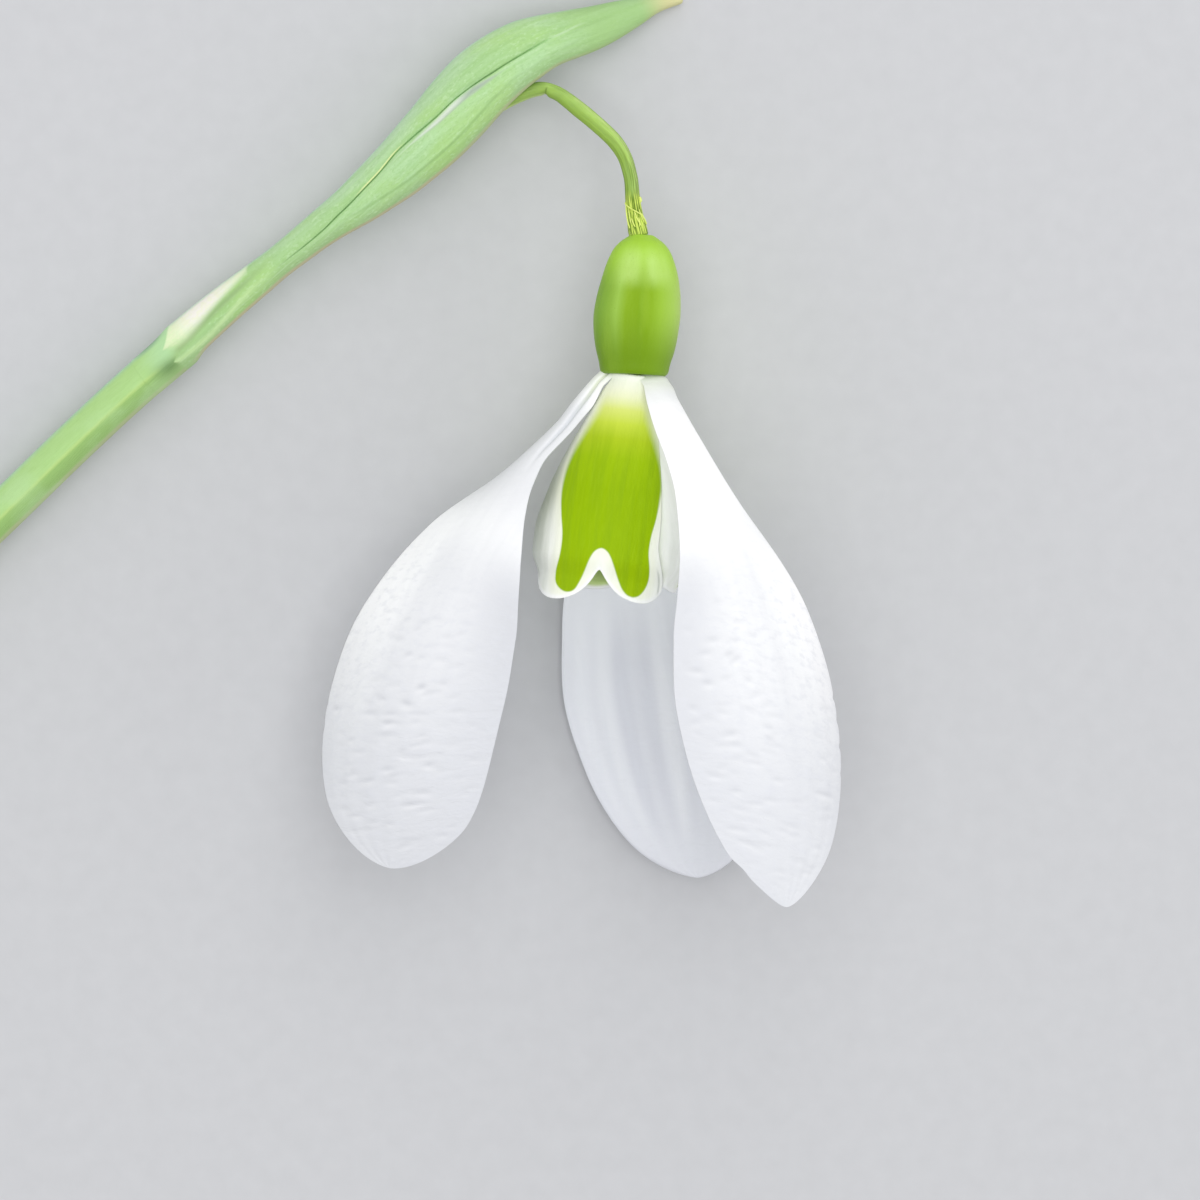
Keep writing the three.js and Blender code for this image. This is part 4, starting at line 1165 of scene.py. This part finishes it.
def outer_tepal_place(tepal):
    points, sides, backs = midrib(tepal)
    steps = np.linspace(0, 1, len(points))
    chance = np.random.default_rng(tepal["seed"])
    lively_across, lively_share = tepal["dented_at"]
    # Dents in rows and, further down, shallow wrinkles. For each: millimetres across and down, its half
    # sizes, its depth and its slope.
    dents = []
    for row in range(DENT_ROWS):
        for column in range(-5, 6):
            across_at = 1.05 * column + 0.5 * (row % 2) + chance.normal(0, 0.2)
            share_at = 0.42 + 0.0205 * row + chance.normal(0, 0.006)
            lively = hump(across_at - lively_across, 2.4) * hump(share_at - lively_share, 0.15)
            depth = chance.uniform(-0.15, 1) * lively
            long = chance.uniform(0.24, 0.4)
            if depth > 0.1:
                slope = tepal["dent_slope"] + chance.normal(0, 0.2)
                down_at = share_at * tepal["length"]
                dents.append((across_at, down_at, long, DENT_HALF_HEIGHT, depth, slope))
    for _ in range(WRINKLES):
        share_at = 0.66 + 0.3 * chance.uniform(0, 1) ** 0.8
        long = chance.uniform(0.25, 0.6)
        slope = tepal["dent_slope"] + chance.normal(0, 0.08)
        across_at, depth = chance.uniform(-4.6, 4.6), chance.uniform(0.2, 0.55)
        down_at = share_at * tepal["length"]
        dents.append((across_at, down_at, long, WRINKLE_HALF_HEIGHT, depth, slope))

    def place(u, v):
        outside, even = front_and_back(u)
        side = np.sin(np.pi / 2 * even) * 0.35 + even * 0.65
        root_share = TEPAL_ROOT_REACH / tepal["length"]
        t = 1 - (1 - v) ** 1.35 * (1 + root_share)
        pick = lambda values: np.stack([np.interp(t, steps, c) for c in values.T], -1)
        point, across, back = pick(points), pick(sides), pick(backs)
        heading = (points[1] - points[0]) * (len(points) - 1)
        stray = through(STRAY_STATIONS, tepal["claw_stray"], t)
        point = set_out(point, heading, tepal_axis.right, np.minimum(t, 0), stray)
        claw_curl, cup_curl = 1 / tepal["claw_radius"], 1 / tepal["cup_radius"]
        curl = claw_curl + (cup_curl - claw_curl) * eased(t / tepal["claw_end"])
        taper = np.clip(1 - np.maximum(t, 0) ** tepal["tip_power"], 0, 1) ** tepal["tip_fullness"]
        low, high = (through(WIDTH_STATIONS, tepal[widths], t) for widths in ("low_widths", "high_widths"))
        reach = np.maximum(np.where(side < 0, low, high) * taper, 0.02)
        for at, which, depth, width in tepal["nicks"]:
            bite = depth * hump(t - at, width)
            side = np.where(side * which > 0, side * (1 - bite * np.abs(side) ** 6), side)
        millimetres = side * reach
        angle = millimetres * curl
        down, to_tip = t * tepal["length"], (1 - t) * tepal["length"]
        to_side = (1 - np.abs(side)) * reach
        body = np.sqrt(np.clip(1 - np.abs(side) ** 5, 0, 1)) * np.sqrt(np.clip(to_tip / 0.8, 0, 1))
        thick = OUTER_THICKNESS * body * np.sqrt(np.clip((t + root_share) / 0.002, 0, 1))

        # Dents sink into the back, and each has a lit lip below it.
        sunk, lit = np.zeros_like(t), np.zeros_like(t)
        for dent_side, dent_down, half_long, half_tall, deep, slope in dents:
            near = outside & (np.abs(down - dent_down) < 0.9) & (np.abs(millimetres - dent_side) < 2.4)
            beside = millimetres[near] - dent_side
            below = (down[near] - dent_down - slope * beside) / half_tall
            sunk[near] += deep * np.exp(-((beside / half_long) ** 2) - below**2)
            lit[near] += deep * np.exp(-((beside / half_long) ** 2) - (below - 1.7) ** 2)
        soft_margin = eased(to_side) * eased(to_tip / 2)
        sunk, lit = np.clip(sunk, 0, 1) * soft_margin, np.clip(lit, 0, 1) * soft_margin

        # The back is greyer towards the margins that turn from the light, and on the claw.
        low_edge, middle, high_edge = tepal["shaded"]
        shaded = middle + (low_edge - middle) * eased(-side * 1.3 - 0.2)
        shaded = shaded + (high_edge - middle) * eased(side * 1.3 - 0.2)
        claw_shade = tepal["claw_shade"] * eased((t - 0.03) / 0.05)
        shaded = claw_shade + (shaded * eased((t - 0.3) / 0.15) - claw_shade) * eased((t - 0.22) / 0.16)

        claw_groove = hump(side + 0.42, 0.15) * eased((0.24 - t) / 0.14)
        waves = 0.012 * (1 - np.cos(2 * np.pi * (3.5 * side + 0.3 * np.sin(3 * t)))) * eased((t - 0.3) / 0.25)
        drift = side + 0.03 * np.sin(7 * t + 2)
        lines = 0.6 * np.cos(2 * np.pi * (1.9 * drift + 0.7 * drift**2 + 0.1))
        lines = lines + 0.4 * np.cos(2 * np.pi * (3.8 * drift + 0.3))
        lines = lines * eased((t - 0.2) / 0.3) * eased(to_side / 1.5) * eased((to_tip - 0.8) / 5)
        into_back = 0.008 * sunk + tepal["claw_groove"] * claw_groove + waves * eased(to_side) * 0.6
        to_inside = waves * 0.3 + thick - 0.03 * tepal["grooves"] * lines - 0.04 * eased(to_side)
        inward = np.where(outside, np.minimum(into_back, 0.4 * thick), np.maximum(to_inside, 0.45 * thick))
        radius = 1 / curl - inward
        slanted = down - tepal["dent_slope"] * millimetres
        return set_out(point, across, back, radius * np.sin(angle), radius * np.cos(angle) - 1 / curl), {
            "grain": np.stack([millimetres, slanted, np.where(outside, 0, 3)], -1),
            "share": t,
            "sunk": sunk,
            "lit": lit,
            "shaded": np.where(outside, shaded, 0),
            "claw_groove": np.where(outside, claw_groove * (tepal["claw_groove"] > 0), 0),
            "ridge": np.where(outside, 0, lines),
            "inside": np.where(outside, 0, 1),
        }

    return place


outer_skin, tree, shader = new_skin("outer_tepal_skin", 0.2)
share = marking("share")
veins = grained(2, 3, (1.2, 0.1, 1))
back_white = blended(scaled(veins, 0.4, 0.7, 0, 0.18), "f8f9f9", "e7e8ea")
# Painted shade greys the back where shaded is above 0, and painted light whitens it where below 0.
back_white = tinted(back_white, "d0d2d7", marking("shaded"), 0, 1, 0, 1, "LINEAR")
back_white = tinted(back_white, "ffffff", marking("shaded"), 0, -1)
# Painted shade, greyer down the lower half of the back.
back_white = tinted(back_white, "dadce0", share, 0.48, 0.86, 0, 0.85)
swerve = node("TexNoise", Vector=marking("grain", "Vector"), Scale=0.9, Detail=2)
swerve = node("VectorMath", {"operation": "SCALE"}, n0=tree.nodes[-1].outputs["Color"], Scale=0.7)
swerved = node("VectorMath", {"operation": "ADD"}, n0=marking("grain", "Vector"), n1=swerve)
spread = node("Mapping", Vector=swerved, Scale=(0.5, 1.9, 1))
wrinkle = node("TexNoise", Vector=spread, Scale=1, Detail=2, Distortion=0.5)
# The wrinkles, puckers and dents are greyed with painted shade, and the lip below each dent is lightened with
# a painted highlight.
wrinkled = product(scaled(wrinkle, 0.48, 0.75), scaled(share, 0.45, 0.75, 0.05, 0.3))
back_white = tinted(back_white, "d9dbe1", wrinkled)
puckers = grained(2.6, 4, (0.7, 1.1, 1))
puckered = product(scaled(puckers, 0.47, 0.7), scaled(share, 0.34, 0.5, 0, 0.4))
back_white = tinted(back_white, "dcdee3", puckered)
back_white = tinted(back_white, "ffffff", marking("lit"), 0, 1, 0, 0.3, "LINEAR")
back_white = tinted(back_white, "bfc1c6", marking("sunk"), 0, 1, 0, 0.5, "LINEAR")
# Painted shade in the claw's channel.
claw_groove_shade = blended(scaled(share, 0, 0.09), "c8d0b8", "d2d6d9")
back_white = tinted(back_white, claw_groove_shade, marking("claw_groove"), 0.1, 0.9, 0, 0.85)
# The inside's white, greyed with painted shade: darker along its grooves, lighter towards the claw.
inner_white = blended(scaled(marking("ridge"), -0.9, 0.9), "d8dae1", "eaecf0")
inner_white = tinted(inner_white, "e0e3e9", veins, 0.4, 0.7, 0, 0.35)
inner_white = tinted(inner_white, "f6f8fd", share, 0.42, 0.6, 0.9, 0)
colour = blended(marking("inside"), back_white, inner_white)
surfaced(tinted(colour, "eef4dc", share, 0, 0.04, 0.35, 0), wrinkle, 0.45, 0.6)
fine_bump = bumped(puckers, 0.00005, 0.6)
bumped(product(wrinkle, scaled(share, 0.45, 0.75)), 0.00012, 0.5, fine_bump)
for tepal in OUTER_TEPALS:
    piece = rolled_grid(tepal["name"], 2 * OUTER_COLUMNS, OUTER_ROWS, outer_tepal_place(tepal))
    fitted(piece, outer_skin, "outer_white", tepal["name"])
